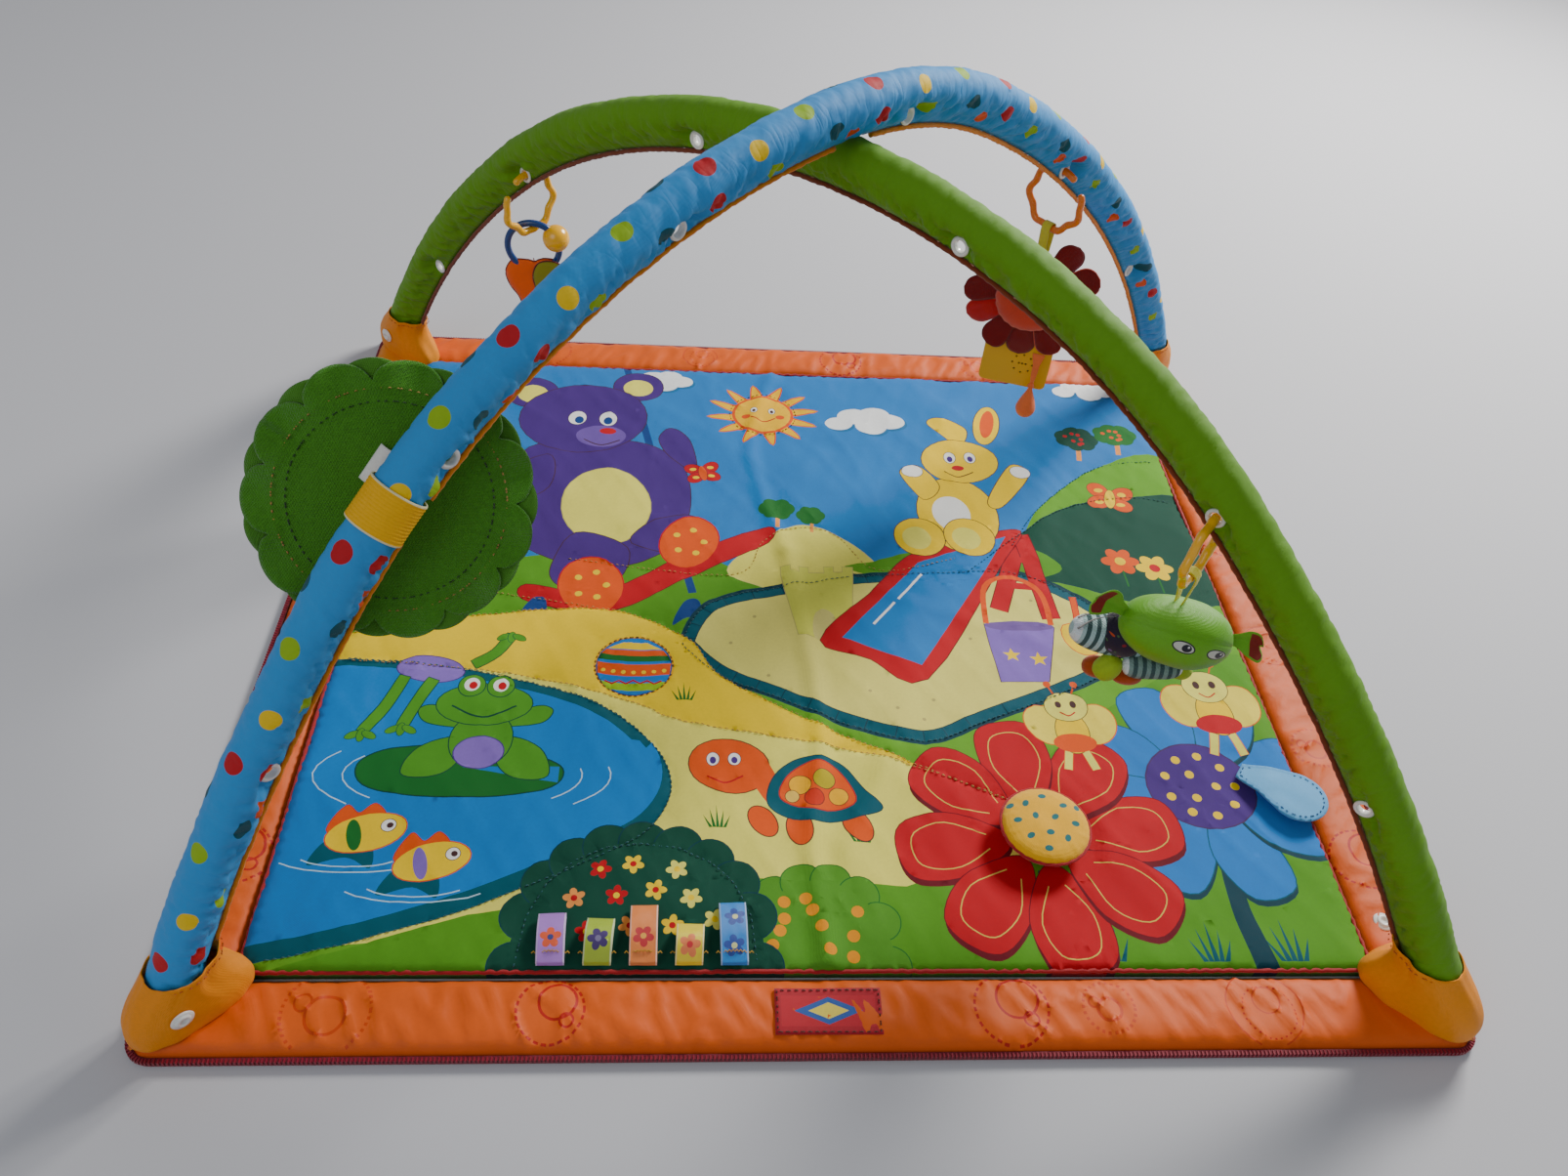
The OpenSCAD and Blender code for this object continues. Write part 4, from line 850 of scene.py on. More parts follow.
satin = cloth("borderSatin", attribute="printColour", threads=900, ribs=2.0, weave=0.22, rough=0.52, sheen=0.04, fade=0.18,
    fleck=0.10, gloss=0.34)
def borderStrip(name, node, along, side):
    lo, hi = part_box(node)
    x0, y0, x1, y1 = lo[0] * 1000, lo[1] * 1000, hi[0] * 1000, hi[1] * 1000
    outline = [(x0, y0), (x1, y0), (x1, y1), (x0, y1)]
    if along == "x":
        r, ys = 12, (y0 if side < 0 else y1)
        arcs = [(x0 + r - r * cos(a), ys - side * (r - r * sin(a))) for a in (radians(15 * k) for k in range(7))]
        arcs += [(x1 - r + r * sin(a), ys - side * (r - r * cos(a))) for a in (radians(15 * k) for k in range(7))]
        inner = y1 if side < 0 else y0
        outline = arcs + [(x1, inner), (x0, inner)]
    art = Print()
    mid = (y0 + y1) / 2 if along == "x" else (x0 + x1) / 2
    if along == "x":
        spots = [(-310, 27, 1), (-174, 21, 0), (118, 24, 0), (182, 17, 1), (286, 25, 2)] if side < 0 else [(-250, 24, 1),
            (-90, 18, 2), (60, 22, 0), (210, 20, 1)]
    else:
        spots = [(-250, 24, 0), (-150, 18, 1), (-40, 22, 2), (90, 20, 0), (210, 24, 1)]
    for p, r, kind in spots:
        ringMotif(art, p if along == "x" else mid + 1, mid + 1 if along == "x" else p, r, kind)
    vs, fs, cs = cutPrint(outline, orangeGround, [s for s in art.shapes
        if all(x0 + 1 < q[0] < x1 - 1 and y0 + 1 < q[1] < y1 - 1 for q in s[0])], border["grid"])
    pts = []
    for x, y in vs:
        u, v = (x, (y - y0) / (y1 - y0)) if along == "x" else (y, (x - x0) / (x1 - x0))
        if side > 0:
            v = 1 - v  # v is 0 at the outer edge
        bulge = (max(0.0, 1 - abs(2 * v - 1) ** 3.2)) ** 0.5
        edge = min(x - x0, x1 - x) if along == "x" else 99
        soft = 1.5 * wobble(u / 60, v * 1.2, side * 4.0 + (9 if along == "y" else 0))
        ripple = 2.2 * max(0, 1 - 2.2 * abs(wobble(u / 15 + 1.5 * v, v * 1.4, side * 3.0))) ** 2
        pucker = 0.55 * sin(u * 2 * pi / 8.5) * exp(-(1 - v) * 50 / 7) + 0.45 * sin(u * 2 * pi / 7.5) * exp(-v * 50 / 6)
        z = 2.6 + (border["high"] - 2.6) * bulge + (soft + ripple + pucker) * bulge ** 0.5
        z *= smooth(-2, 14, edge) * 0.75 + 0.25
        pts.append((x / 1000, y / 1000, max(z, 1.2) / 1000))
    obj = makePiece(name, pts, fs, [satin], "mat", [node])
    dye(obj, cs)
    closeBelow(obj, 0.0003)
for name, node, along, side in (("borderFront", "border_front", "x", -1), ("borderBack", "border_back", "x", 1),
        ("borderLeft", "border_left", "y", -1), ("borderRight", "border_right", "y", 1)):
    borderStrip(name, node, along, side)
print("borders made")

# a tube along a path, for piping, cords and links
def tube(name, path, radius, mats, body, stands=(), sides=10, closed=False, flatten=1.0, turnWith=None, wave=0.0):
    n, vs, fs = len(path), [], []
    run, up = 0.0, turnWith or Vector((0, 0, 1))
    for i in range(n):
        p = Vector(path[i])
        a, b = Vector(path[(i - 1) % n] if closed or i else path[0]), Vector(path[(i + 1) % n] if closed or i < n - 1 else path[-1])
        t = (b - a).normalized()
        s = t.cross(up)
        s = (s if s.length > 1e-4 else t.cross(Vector((1, 0, 0)))).normalized()
        u = s.cross(t).normalized()
        r = (radius(i / max(1, n - 1)) if callable(radius) else radius) * (1 + wave * wobble(i * 0.37, 2.0))
        for k in range(sides):
            c = 2 * pi * k / sides
            vs.append(p + s * cos(c) * r + u * sin(c) * r * flatten)
    for i in range(n if closed else n - 1):
        for k in range(sides):
            j, m = (i + 1) % n, (k + 1) % sides
            fs.append((i * sides + k, i * sides + m, j * sides + m, j * sides + k))
    if not closed:
        fs += endFaces(n, sides)
    obj = makePiece(name, vs, fs, mats, body, stands)
    faceOut(obj)
    return obj

pipeCloth = cloth("darkRedPiping", paint(166, 6, 20), threads=1800, weave=0.4, rough=0.55, fleck=0.3)
w, dd = 0.3705, 0.3355
loop = []
for (ax, ay), (bx, by) in (((-w, -dd), (w, -dd)), ((w, -dd), (w, dd)), ((w, dd), (-w, dd)), ((-w, dd), (-w, -dd))):
    n = int(hypot(bx - ax, by - ay) / 0.004)
    for k in range(n):
        x, y = ax + (bx - ax) * k / n, ay + (by - ay) * k / n
        loop.append((x, y, 0.0098 + 0.0007 * sin(k * 2.95) + 0.0006 * wobble(k * 0.11, x * 9)))
tube("seamPiping", loop, 0.0015, [pipeCloth], "mat", ["panel_piping"], sides=8, closed=True, wave=0.15)

# zip: a woven tape with a moulded coil round the outer edge
zipTape = cloth("zipTape", paint(112, 14, 34), threads=1400, ribs=2.0, weave=0.4, rough=0.6)
zipCoil = plastic("zipCoil", paint(140, 20, 44), rough=0.35)
dressNode("edge_zip", zipTape)
teethV, teethF = [], []
ringPath = []
mw, md, rc = 0.4242, 0.3892, 0.016
for cx, cy, a0 in ((mw - rc, -md + rc, -90), (mw - rc, md - rc, 0), (-mw + rc, md - rc, 90), (-mw + rc, -md + rc, 180)):
    ringPath += [(cx + rc * cos(radians(a0 + 15 * k)), cy + rc * sin(radians(a0 + 15 * k))) for k in range(7)]
ringPath.append(ringPath[0])
for a, b in zip(ringPath, ringPath[1:]):
    l = hypot(b[0] - a[0], b[1] - a[1])
    n = max(1, round(l / 0.0026))
    tx, ty = (b[0] - a[0]) / l, (b[1] - a[1]) / l
    for k in range(n):
        x, y = a[0] + (b[0] - a[0]) * (k + 0.5) / n, a[1] + (b[1] - a[1]) * (k + 0.5) / n
        i0, hl, hw = len(teethV), 0.0008, 0.0017
        for sx, sy, z in ((-1, -1, 0.0026), (1, -1, 0.0026), (1, 1, 0.0026), (-1, 1, 0.0026), (-0.6, -0.8, 0.0056),
                (0.6, -0.8, 0.0056), (0.6, 0.8, 0.0056), (-0.6, 0.8, 0.0056)):
            teethV.append((x + tx * hl * sx - ty * hw * sy, y + ty * hl * sx + tx * hw * sy, z))
        teethF += [tuple(i0 + q for q in f) for f in ((0, 3, 2, 1), (4, 5, 6, 7), (0, 1, 5, 4), (1, 2, 6, 5), (2, 3, 7, 6), (3, 0, 4, 7))]
makePiece("zipTeeth", teethV, teethF, [zipCoil], "mat", flat=True)
print("zip and piping made")

# ---------- arches ----------

foot = {"reach": hypot(403.5, 368.5), "turn": degrees(atan2(368.5, 403.5)), "z": 16}
legs = {"greenFront": (400, 37.5, 58.5, -foot["turn"], (11, 38, 49.5)), "greenBack": (400, 40, 62.5, 180 - foot["turn"], (14.5, 38, 52)),
    "blueFront": (434, 49.5, 64, 180 + foot["turn"], (16.5, 37, 54.5)), "blueBack": (434, 26, 62, foot["turn"], (8.5, 34.5, 48.5))}

def legRadii(leg):
    s, f, rise = radians(leg[1]), radians(leg[2]), leg[0] - foot["z"]
    a, b, c, e = sin(s), sin(f) - sin(s), 1 - cos(s), cos(s) - cos(f)
    det = a * e - b * c
    return (foot["reach"] * e - b * rise) / det, (a * rise - c * foot["reach"]) / det

def legAt(leg, run):  # centre and outward direction at a run in mm from the crown
    r1, r2 = legRadii(leg)
    bend = r1 * radians(leg[1])
    t = radians(leg[3])
    if run <= bend:
        a, r, cx, cz = run / r1, r1, 0, leg[0] - r1
    else:
        a = radians(leg[1]) + (run - bend) / r2
        r, cx, cz = r2, (r1 - r2) * sin(radians(leg[1])), leg[0] - r1 + (r1 - r2) * cos(radians(leg[1]))
    dist, z = cx + r * sin(a), cz + r * cos(a)
    out = Vector((cos(t) * sin(a), sin(t) * sin(a), cos(a)))
    return Vector((cos(t) * dist, sin(t) * dist, z)), out

def runAt(leg, angle):
    r1, r2 = legRadii(leg)
    return r1 * radians(min(angle, leg[1])) + r2 * radians(max(0, angle - leg[1]))

sleeve = {"r": 15.0, "turnOff": 28.8, "flank": 19.6, "eyeletDrop": 13.5, "grid": 2.7}
wide = sleeve["turnOff"] + sleeve["flank"]

def sleeveOutline(w):  # across the sleeve: out and sideways, in mm
    s, m = (1 if w >= 0 else -1), abs(w)
    if m <= sleeve["turnOff"]:
        return sleeve["r"] * cos(m / sleeve["r"]), s * sleeve["r"] * sin(m / sleeve["r"])
    t = (m - sleeve["turnOff"]) / sleeve["flank"]
    return -5.13 - 14.87 * t, s * max(0.0, 14.1 - 5.4 * t - 7.6 * t * t - 1.1 * t ** 6)

def archPoint(front, back, across, s, x, z):
    centre, out = legAt(back if s >= 0 else front, abs(s))
    return (centre + out * x + across * z) / 1000

def sleeveMesh(name, body, node, front, back, across, shapes, ground, material, seed, strapRun=None, over=None):
    s0, s1 = -(runAt(front, front[2]) - 15), runAt(back, back[2]) - 15
    eyes = [-runAt(front, a) for a in front[4]] + [runAt(back, a) for a in back[4]]
    holes = []
    for e in eyes:
        for side in (-1, 1):
            holes.append([(e + 5.2 * cos(a), side * (sleeve["turnOff"] + sleeve["flank"] * (-5.13 + 13.5 + 5.2 * sin(a)) / 14.87))
                for a in (2 * pi * k / 16 for k in range(16))])
    vs, fs, cs = cutPrint([(s0, -wide), (s1, -wide), (s1, wide), (s0, wide)], ground, shapes, sleeve["grid"], holes)
    pts = []
    for s, w in vs:
        x, z = sleeveOutline(w)
        l = hypot(x, z) or 1
        low = smooth(8, 40, abs(w))
        pleat = max(0.0, 1 - 2.6 * abs(wobble(s / 10 + 0.05 * abs(w), w / 26, seed))) ** 2
        pleat2 = max(0.0, 1 - 2.4 * abs(wobble(s / 5.5, w / 15, seed + 4))) ** 2
        soft = 0.9 * wobble(s / 48, w / 30, seed + 9) + 0.35 * wobble(s / 16, w / 20, seed + 2)
        push = soft - (0.7 + 2.6 * low) * pleat - (0.25 + 1.4 * low) * pleat2
        push *= smooth(0, 6, wide - abs(w))
        x, z = x + x / l * push, z + z / l * push
        for e in eyes:
            if abs(s - e) > 34:
                continue
            gap = hypot(s - e, x + sleeve["eyeletDrop"])
            f = smooth(6.9, 17, gap)
            ray = 1.5 * sin(9 * atan2(x + sleeve["eyeletDrop"], s - e)) * smooth(6, 10, gap) * (1 - smooth(12, 30, gap))
            if abs(w) > sleeve["turnOff"] * 0.75:
                k = smooth(sleeve["turnOff"] * 0.75, sleeve["turnOff"] * 1.1, abs(w))
                m = abs(z)
                target = 1.3 + max(0, m - 1.3) * f + ray
                z = (m + (target - m) * k) * (1 if w >= 0 else -1) if m > 0.2 else z
        if strapRun is not None:
            k = smooth(13, 26, abs(s - strapRun))
            l = hypot(x, z)
            if l > 14.9:
                x, z = x * (14.9 + (l - 14.9) * k) / l, z * (14.9 + (l - 14.9) * k) / l
        if over is not None and abs(s) < 15.4:
            x = max(x, -(over - sqrt(max(0, 15.9 ** 2 - s * s))) + 0.6)
        pts.append(archPoint(front, back, across, s, x, z))
    obj = makePiece(name, pts, fs, [material], body, [node])
    dye(obj, cs)
    uv = obj.data.uv_layers.new(name="sleeveMap")
    flat = []
    for loopItem in obj.data.loops:
        s, w = vs[loopItem.vertex_index]
        flat += [s / 1000, w / 1000]
    uv.data.foreach_set("uv", flat)
    bm = openMesh(obj)
    bmesh.ops.remove_doubles(bm, verts=[v for v, q in zip(bm.verts, vs) if abs(q[1]) > wide - 0.01], dist=0.00005)
    for end in (s0, s1):
        place = archPoint(front, back, across, end, 0, 0)
        rim = [e for e in bm.edges if len(e.link_faces) == 1 and all((v.co - place).length < 0.03 for v in e.verts)]
        bmesh.ops.contextual_create(bm, geom=rim)
    closeMesh(obj, bm)

acrossGreen = Vector((0.67437, 0.73839, 0))
acrossBlue = Vector((-0.67437, 0.73839, 0))
greenCotton = cloth("greenSleeveCotton", attribute="printColour", threads=1150, weave=0.35, rough=0.66, sheen=0.06, fade=0.16,
    fleck=0.14, useUv=True, creases=3.2)
blueCotton = cloth("blueSleeveCotton", attribute="printColour", threads=1150, weave=0.35, rough=0.62, sheen=0.05, fade=0.12,
    fleck=0.12, useUv=True, creases=3.2)

dots = Print()
dotRows = [("red", 10, -16, 6.4), ("lime", 89, -20, 6.2), ("yellow", 46, -50, 6.0), ("teal", -14, 38, 6.2), ("orange", 58, 88, 6.2),
    ("red", 112, 70, 6.2),
    ("teal", 106, -100, 6.0), ("red", 12, -106, 6.2), ("lime", 58, -122, 6.0), ("orange", 122, -142, 5.6), ("yellow", 24, 138, 6.0)]
bluePeriod = 136
for c, start, turn, r in dotRows:
    for k in range(-6, 6):
        s, w = start + bluePeriod * k + 3 * sin(k * 2.1 + start), radians(turn) * 15
        if -690 < s < 640:
            dots.add(oval(s, w, r, r * 1.02, n=26), dyes[c])
print("sleeves start")
greenGround, blueGround = paint(98, 154, 4), paint(52, 150, 220)
sleeveMesh("greenSleevePadded", "green_arch", "green_sleeve", legs["greenFront"], legs["greenBack"], acrossGreen,
    [], greenGround, greenCotton, 2.0)
strapRun = -runAt(legs["blueFront"], 41.5)
sleeveMesh("blueSleevePadded", "blue_arch", "blue_sleeve", legs["blueFront"], legs["blueBack"], acrossBlue,
    dots.shapes, blueGround, blueCotton, 5.0, strapRun, 34)

brownPipe = cloth("brownPiping", paint(128, 50, 4), threads=1900, weave=0.5, rough=0.7, fleck=0.3)
goldPipe = cloth("goldPiping", paint(244, 140, 0), threads=1900, weave=0.5, rough=0.65, fleck=0.2)
def pipingRun(name, body, front, back, across, s0, s1, material, node=None):
    n = max(2, int((s1 - s0) / 2.6))
    path = []
    for k in range(n + 1):
        s = s0 + (s1 - s0) * k / n
        path.append(archPoint(front, back, across, s, -21.6 - 0.25 * sin(s * 0.9) - 0.4 * wobble(s / 12, 1.0), 0.5 * wobble(s / 20, 5.0)))
    return tube(name, path, 0.0018, [material], body, [node] if node else [], sides=8, turnWith=across, wave=0.2)
gf, gb, bf, bb = legs["greenFront"], legs["greenBack"], legs["blueFront"], legs["blueBack"]
pipingRun("greenPipingCord", "green_arch", gf, gb, acrossGreen, -(runAt(gf, gf[2]) - 58), runAt(gb, gb[2]) - 58,
    brownPipe, "green_piping")
pipingRun("bluePipingFoot", "blue_arch", bf, bb, acrossBlue, -(runAt(bf, bf[2]) - 58), strapRun - 15, goldPipe,
    "blue_piping")
pipingRun("bluePipingMid", "blue_arch", bf, bb, acrossBlue, strapRun + 15, -17, goldPipe)
pipingRun("bluePipingBack", "blue_arch", bf, bb, acrossBlue, 17, runAt(bb, bb[2]) - 58, goldPipe)

# pockets: a soft pouch round each foot, sewn on a patch
def pouch(name, node, leg):
    t = radians(leg[3])
    u, v = Vector((cos(t), sin(t), 0)), Vector((-sin(t), cos(t), 0))
    def legDist(z):
        run = runAt(leg, leg[2])
        for k in range(80):
            c = legAt(leg, run - k)[0]
            if c.z >= z:
                return hypot(c.x, c.y)
        return foot["reach"] - z * 0.5
    levels, around, vs = 13, 72, []
    for j in range(levels):
        f = j / (levels - 1)
        z = 10.6 + 47 * f
        k = smooth(0.1, 1.0, f)
        top = legDist(max(16, z))
        for i in range(around):
            a = 2 * pi * i / around
            ca, sa = cos(a), sin(a)
            low = (528.5 + (20 + 17.4 * abs(ca)) * (1 if ca > 0 else -1) * abs(ca) ** 0.35, 17.2 * (1 if sa > 0 else -1) * abs(sa) ** 0.8)
            high = (top + (18.2 if ca > 0 else 25.5) * ca, 17.0 * sa * (1 if ca > -0.4 else 0.86))
            wave = 0.9 * wobble(i * 0.33, j * 0.25, leg[3]) + 0.5 * sin(i * 0.9 + j) * (1 - f) * 0.6
            d = low[0] * (1 - k) + high[0] * k + ca * wave
            e = low[1] * (1 - k) + high[1] * k + sa * wave
            p = (u * d + v * e) / 1000
            vs.append((p.x, p.y, (z + (1.6 * wobble(i * 0.21, 4.0, leg[3]) + 1.2 * ca) * (f if f > 0.6 else 0)) / 1000))
    obj = makePiece(name, vs, ringFaces(levels, around), [pocketCotton], "mat", [node])
    faceOut(obj)
    thicken(obj, 0.0013)
    refine(obj)
    rim = [Vector(vs[(levels - 1) * around + i % around]) for i in range(around + 1)]
    threadRun(name + "Hem", [q - Vector((0, 0, 0.0035)) + (Vector((q.x, q.y, 0)) - u * legDist(56) / 1000).normalized() * 0.0011
        for q in rim], threadRust, "mat")
    # patch beside the pouch, with its overlocked edge
    sx, sy = (1 if cos(t) > 0 else -1), (1 if sin(t) > 0 else -1)
    outline = [(371, 334), (418.5, 384), (418.5, 318), (372.5, 322)]
    outline = [(x * sx, y * sy) for x, y in outline]
    pv, pf, _ = cutPrint(curve(outline, True, 5), (1, 1, 1, 1), [], 4)
    def bed(x, y):
        q = (422 - abs(x)) / 49.5
        return 2.6 + (border["high"] - 2.6) * max(0.0, 1 - abs(2 * min(max(q, 0), 1) - 1) ** 3.2) ** 0.5 + 1.5 + 0.4 * wobble(x / 9, y / 9)
    patch = makePiece(name + "Patch", [(x / 1000, y / 1000, bed(x, y) / 1000) for x, y in pv], pf, [pocketCotton], "mat")
    faceOut(patch)
    thicken(patch, 0.0009)
    edge, a, b = [], outline[0], outline[1]
    n = 22
    for k in range(n + 1):
        x, y = a[0] + (b[0] - a[0]) * k / n, a[1] + (b[1] - a[1]) * k / n
        off = 2.2 if k % 2 else -1.4
        x2, y2 = x + off * 0.7 * -sx, y + off * 0.7 * sy
        edge.append(Vector((x2, y2, bed(x, y) + 1.0)) / 1000)
    tube(name + "Fray", edge, 0.0008, [threadRust], "mat", sides=6)
pocketCotton = cloth("pocketCotton", paint(240, 144, 4), threads=1000, weave=0.4, rough=0.6, sheen=0.06, fade=0.2, fleck=0.2)
threadRust = sewingThread("rustThread", paint(206, 96, 20))
for name, node, leg in (("pocketFrontLeft", "pocket_front_left", bf), ("pocketFrontRight", "pocket_front_right", gf),
        ("pocketBackLeft", "pocket_back_left", gb), ("pocketBackRight", "pocket_back_right", bb)):
    pouch(name, node, leg)
print("arches and pockets made")

# ---------- flower pad on the blue front leg ----------

def legFrame(leg, angle):  # place on the rod, with the outward, crown and across directions
    centre, out = legAt(leg, runAt(leg, angle))
    t, a = radians(leg[3]), radians(angle)
    return centre, out, Vector((-cos(t) * cos(a), -sin(t) * cos(a), sin(a))), Vector((sin(t), -cos(t), 0))

pad = {"r": 79, "lobe": 17, "count": 11, "drop": 26.5, "swivel": 46, "felt": 2.1, "strap": 26, "ribs": 13}
padMid, padOut, padUp, padAcross = legFrame(bf, 41.5)
turned = radians(pad["swivel"] - 90)
padX = padOut * cos(turned) - padAcross * sin(turned)
padZ = padOut * sin(turned) + padAcross * cos(turned)

def onPad(x, y, z):
    return (padMid + padX * x + padUp * y + padZ * z) / 1000

def feltDisc(name, node, turn, z, material, droop, seed, away):
    d0 = pad["r"] - pad["lobe"]
    rings, around = 30, 240
    vs, fs = [tuple(onPad(0, 0, z))], []
    def lift(x, y, f, a):
        edge = smooth(0.62, 1.0, f)
        wave = edge * (droop * sin(a * pad["count"] / 2 + seed) * 0.5 + 2.6 * wobble(x / 40, y / 40, seed))
        groove = -0.7 * exp(-((f * pad["r"] - 61) / 1.6) ** 2) - 0.7 * exp(-((f * pad["r"] - 54) / 1.6) ** 2)
        return edge * 2.6 * sin(a * pad["count"] + 0.7) + wave * away + abs(groove) * -away * 0.9 + 0.35 * wobble(x / 18, y / 18, seed + 3)
    for j in range(1, rings + 1):
        f = j / rings
        for i in range(around):
            a = 2 * pi * i / around
            near = ((a - turn + pi / pad["count"]) % (2 * pi / pad["count"])) - pi / pad["count"]
            rim = d0 * cos(near) + sqrt(max(0.5, pad["lobe"] ** 2 - (d0 * sin(near)) ** 2))
            rim = 0.6 * rim + 29.6 + 1.2 * wobble(cos(a) * 3, sin(a) * 3, seed)
            r = f * (pad["r"] * (1 - smooth(0.7, 1, f)) + rim * smooth(0.7, 1, f))
            x, y = r * cos(a), r * sin(a)
            vs.append(tuple(onPad(x, y, z + lift(x, y, r / pad["r"], a))))
    for i in range(around):
        m = (i + 1) % around
        fs.append((0, 1 + i, 1 + m))
        fs += [(1 + j * around + i, 1 + (j + 1) * around + i, 1 + (j + 1) * around + m, 1 + j * around + m) for j in range(rings - 1)]
    obj = makePiece(name, vs, fs, [material], "flower_pad", [node])
    thicken(obj, pad["felt"] / 1000)
    faceOut(obj)
    return obj

feltDark = cloth("darkGreenFelt", paint(74, 146, 30), threads=700, weave=0.9, rough=0.92, sheen=0.35, fade=0.25, fleck=0.5,
    fuzz=2.2, gloss=0.15)
feltLight = cloth("lightGreenFelt", paint(76, 136, 40), threads=900, weave=0.7, rough=0.9, sheen=0.3, fade=0.25, fleck=0.3,
    fuzz=1.2, gloss=0.15)
feltDisc("feltDiscNear", "pad_felt_back", 0.0, pad["drop"] + 1.2, feltDark, 4.6, 1.0, 1)
feltDisc("feltDiscFar", "pad_felt_petals", pi / pad["count"], pad["drop"] + 4.4, feltLight, 1.2, 6.0, 1)
for r, thread in ((61, threadTan), (54, cloth("deepGreenThread", paint(30, 66, 14), threads=2500, weave=0.5, rough=0.7))):
    threadRun("feltStitch" + str(r), [onPad(r * cos(a), r * sin(a), pad["drop"] - 0.6)
        for a in (radians(2 * k) for k in range(181))], thread, "flower_pad", lift=0.0)

def dropLoop(r, tip, reach, n):  # a circle drawn out to a smaller one, as points turned with the pad
    lean = acos((r - tip) / reach)
    loop = [(r * cos(a), r * sin(a)) for a in (lean + (2 * pi - 2 * lean) * k / 50 for k in range(51))]
    loop = [(r * cos(lean), r * sin(lean))] + loop[1:]
    loop += [(reach + tip * cos(a), tip * sin(a)) for a in (-lean + 2 * lean * k / 10 for k in range(11))]
    out = []
    seg = [hypot(loop[(k + 1) % len(loop)][0] - loop[k][0], loop[(k + 1) % len(loop)][1] - loop[k][1]) for k in range(len(loop))]
    total, k, past = sum(seg), 0, 0.0
    for i in range(n):
        want = total * i / n
        while past + seg[k] < want:
            past += seg[k]
            k += 1
        f = (want - past) / (seg[k] or 1)
        a, b = loop[k], loop[(k + 1) % len(loop)]
        out.append((a[0] + (b[0] - a[0]) * f, a[1] + (b[1] - a[1]) * f))
    return out

elasticYellow = cloth("ribbedElastic", paint(248, 186, 0), threads=1500, ribs=1.0, weave=0.5, rough=0.55, sheen=0.05, fleck=0.15)
elasticEdge = cloth("elasticEdge", paint(236, 228, 176), threads=1500, weave=0.5, rough=0.6)
def elasticStrap():
    n, m = 96, 79
    outer, inner = dropLoop(16.2, 1.8, 24, n), dropLoop(15.5, 1.0, 24, n)
    vs, fs, kinds = [], [], []
    for j in range(m):
        y = (j / (m - 1) - 0.5) * pad["strap"]
        rib = 0.32 * abs(sin(pi * pad["ribs"] * j / (m - 1)))
        bow = 0.5 * (2 * y / pad["strap"]) ** 2
        for k, (x, s) in enumerate(outer):
            l = hypot(x, s) or 1
            grow2 = rib + bow * (0.4 if x < 8 else 0)
            # the pad's normal is the way to the drop's tip
            vs.append(onPad(s * (1 + grow2 / l), y, x * (1 + grow2 / l) if x < 23 else x))
        for x, s in inner:
            vs.append(onPad(s, y, x))
    for j in range(m - 1):
        for k in range(n):
            q = (k + 1) % n
            a, b = j * 2 * n, (j + 1) * 2 * n
            fs += [(a + k, a + q, b + q, b + k), (a + n + k, b + n + k, b + n + q, a + n + q)]
            kinds += [1 if j < 3 or j > m - 5 else 0, 0]
    for k in range(n):
        q, last = (k + 1) % n, (m - 1) * 2 * n
        fs += [(k, n + k, n + q, q), (last + k, last + q, last + n + q, last + n + k)]
        kinds += [1, 1]
    obj = makePiece("elasticStrap", vs, fs, [elasticYellow, elasticEdge], "flower_pad", ["pad_strap"], kinds)
    faceOut(obj)
elasticStrap()

# stitched tab where the strap meets the felt, and a care tag behind it
tabGreen = cloth("stitchedTab", paint(96, 172, 40), threads=1500, weave=0.6, rough=0.7)
tagWhite = cloth("careTag", paint(232, 232, 228), threads=1800, weave=0.2, rough=0.7)
def smallSheet(name, corners, depth, material, body, rows=10, bend=0.0):
    a, b, c, e = [Vector(p) for p in corners]
    normal = (b - a).cross(e - a).normalized()
    vs = [(a * (1 - u) + b * u) * (1 - v) + (e * (1 - u) + c * u) * v + normal * bend * sin(pi * v)
        for v in (j / rows for j in range(rows + 1)) for u in (i / rows for i in range(rows + 1))]
    obj = makePiece(name, vs, sheetFaces(rows, rows), [material], body)
    thicken(obj, depth)
    faceOut(obj)
    return obj
smallSheet("strapTab", [onPad(-1.5, -15, 25.0), onPad(-1.5, 15, 25.0), onPad(-8.5, 15, 25.5), onPad(-8.5, -15, 25.5)], 0.0009,
    tabGreen, "flower_pad")
smallSheet("careTag", [onPad(14, 2, 21.5), onPad(14, 24, 21.5), onPad(21, 24, 25.2), onPad(21, 2, 25.2)], 0.0004, tagWhite,
    "flower_pad", bend=0.001)

# the padded rim holds the mirror by a gathered edge
def paddedRing():
    rimCotton = cloth("rimCotton", paint(236, 190, 60), threads=1000, weave=0.4, rough=0.7, sheen=0.2)
    around, sides, vs, fs = 180, 16, [], []
    for i in range(around):
        a = 2 * pi * i / around
        for k in range(sides):
            b = 2 * pi * k / sides
            dx, dz = cos(b), sin(b)
            r = 40 + 4.2 * dx - (0.5 * sin(a * 36) if dx < 0 else 0.2 * sin(a * 36))
            z = pad["drop"] + 5 + 3.4 + 3.2 * dz + (0.35 * sin(a * 36 + 1) if dz > 0 else 0)
            vs.append(onPad(r * cos(a), r * sin(a), z))
    for i in range(around):
        for k in range(sides):
            j, q = (i + 1) % around, (k + 1) % sides
            fs.append((i * sides + k, j * sides + k, j * sides + q, i * sides + q))
    obj = makePiece("mirrorRim", vs, fs, [rimCotton], "flower_pad", ["pad_rim"])
    faceOut(obj)
paddedRing()
print("flower pad made")

# ---------- flower cushion, loose petal, ribbons and label ----------

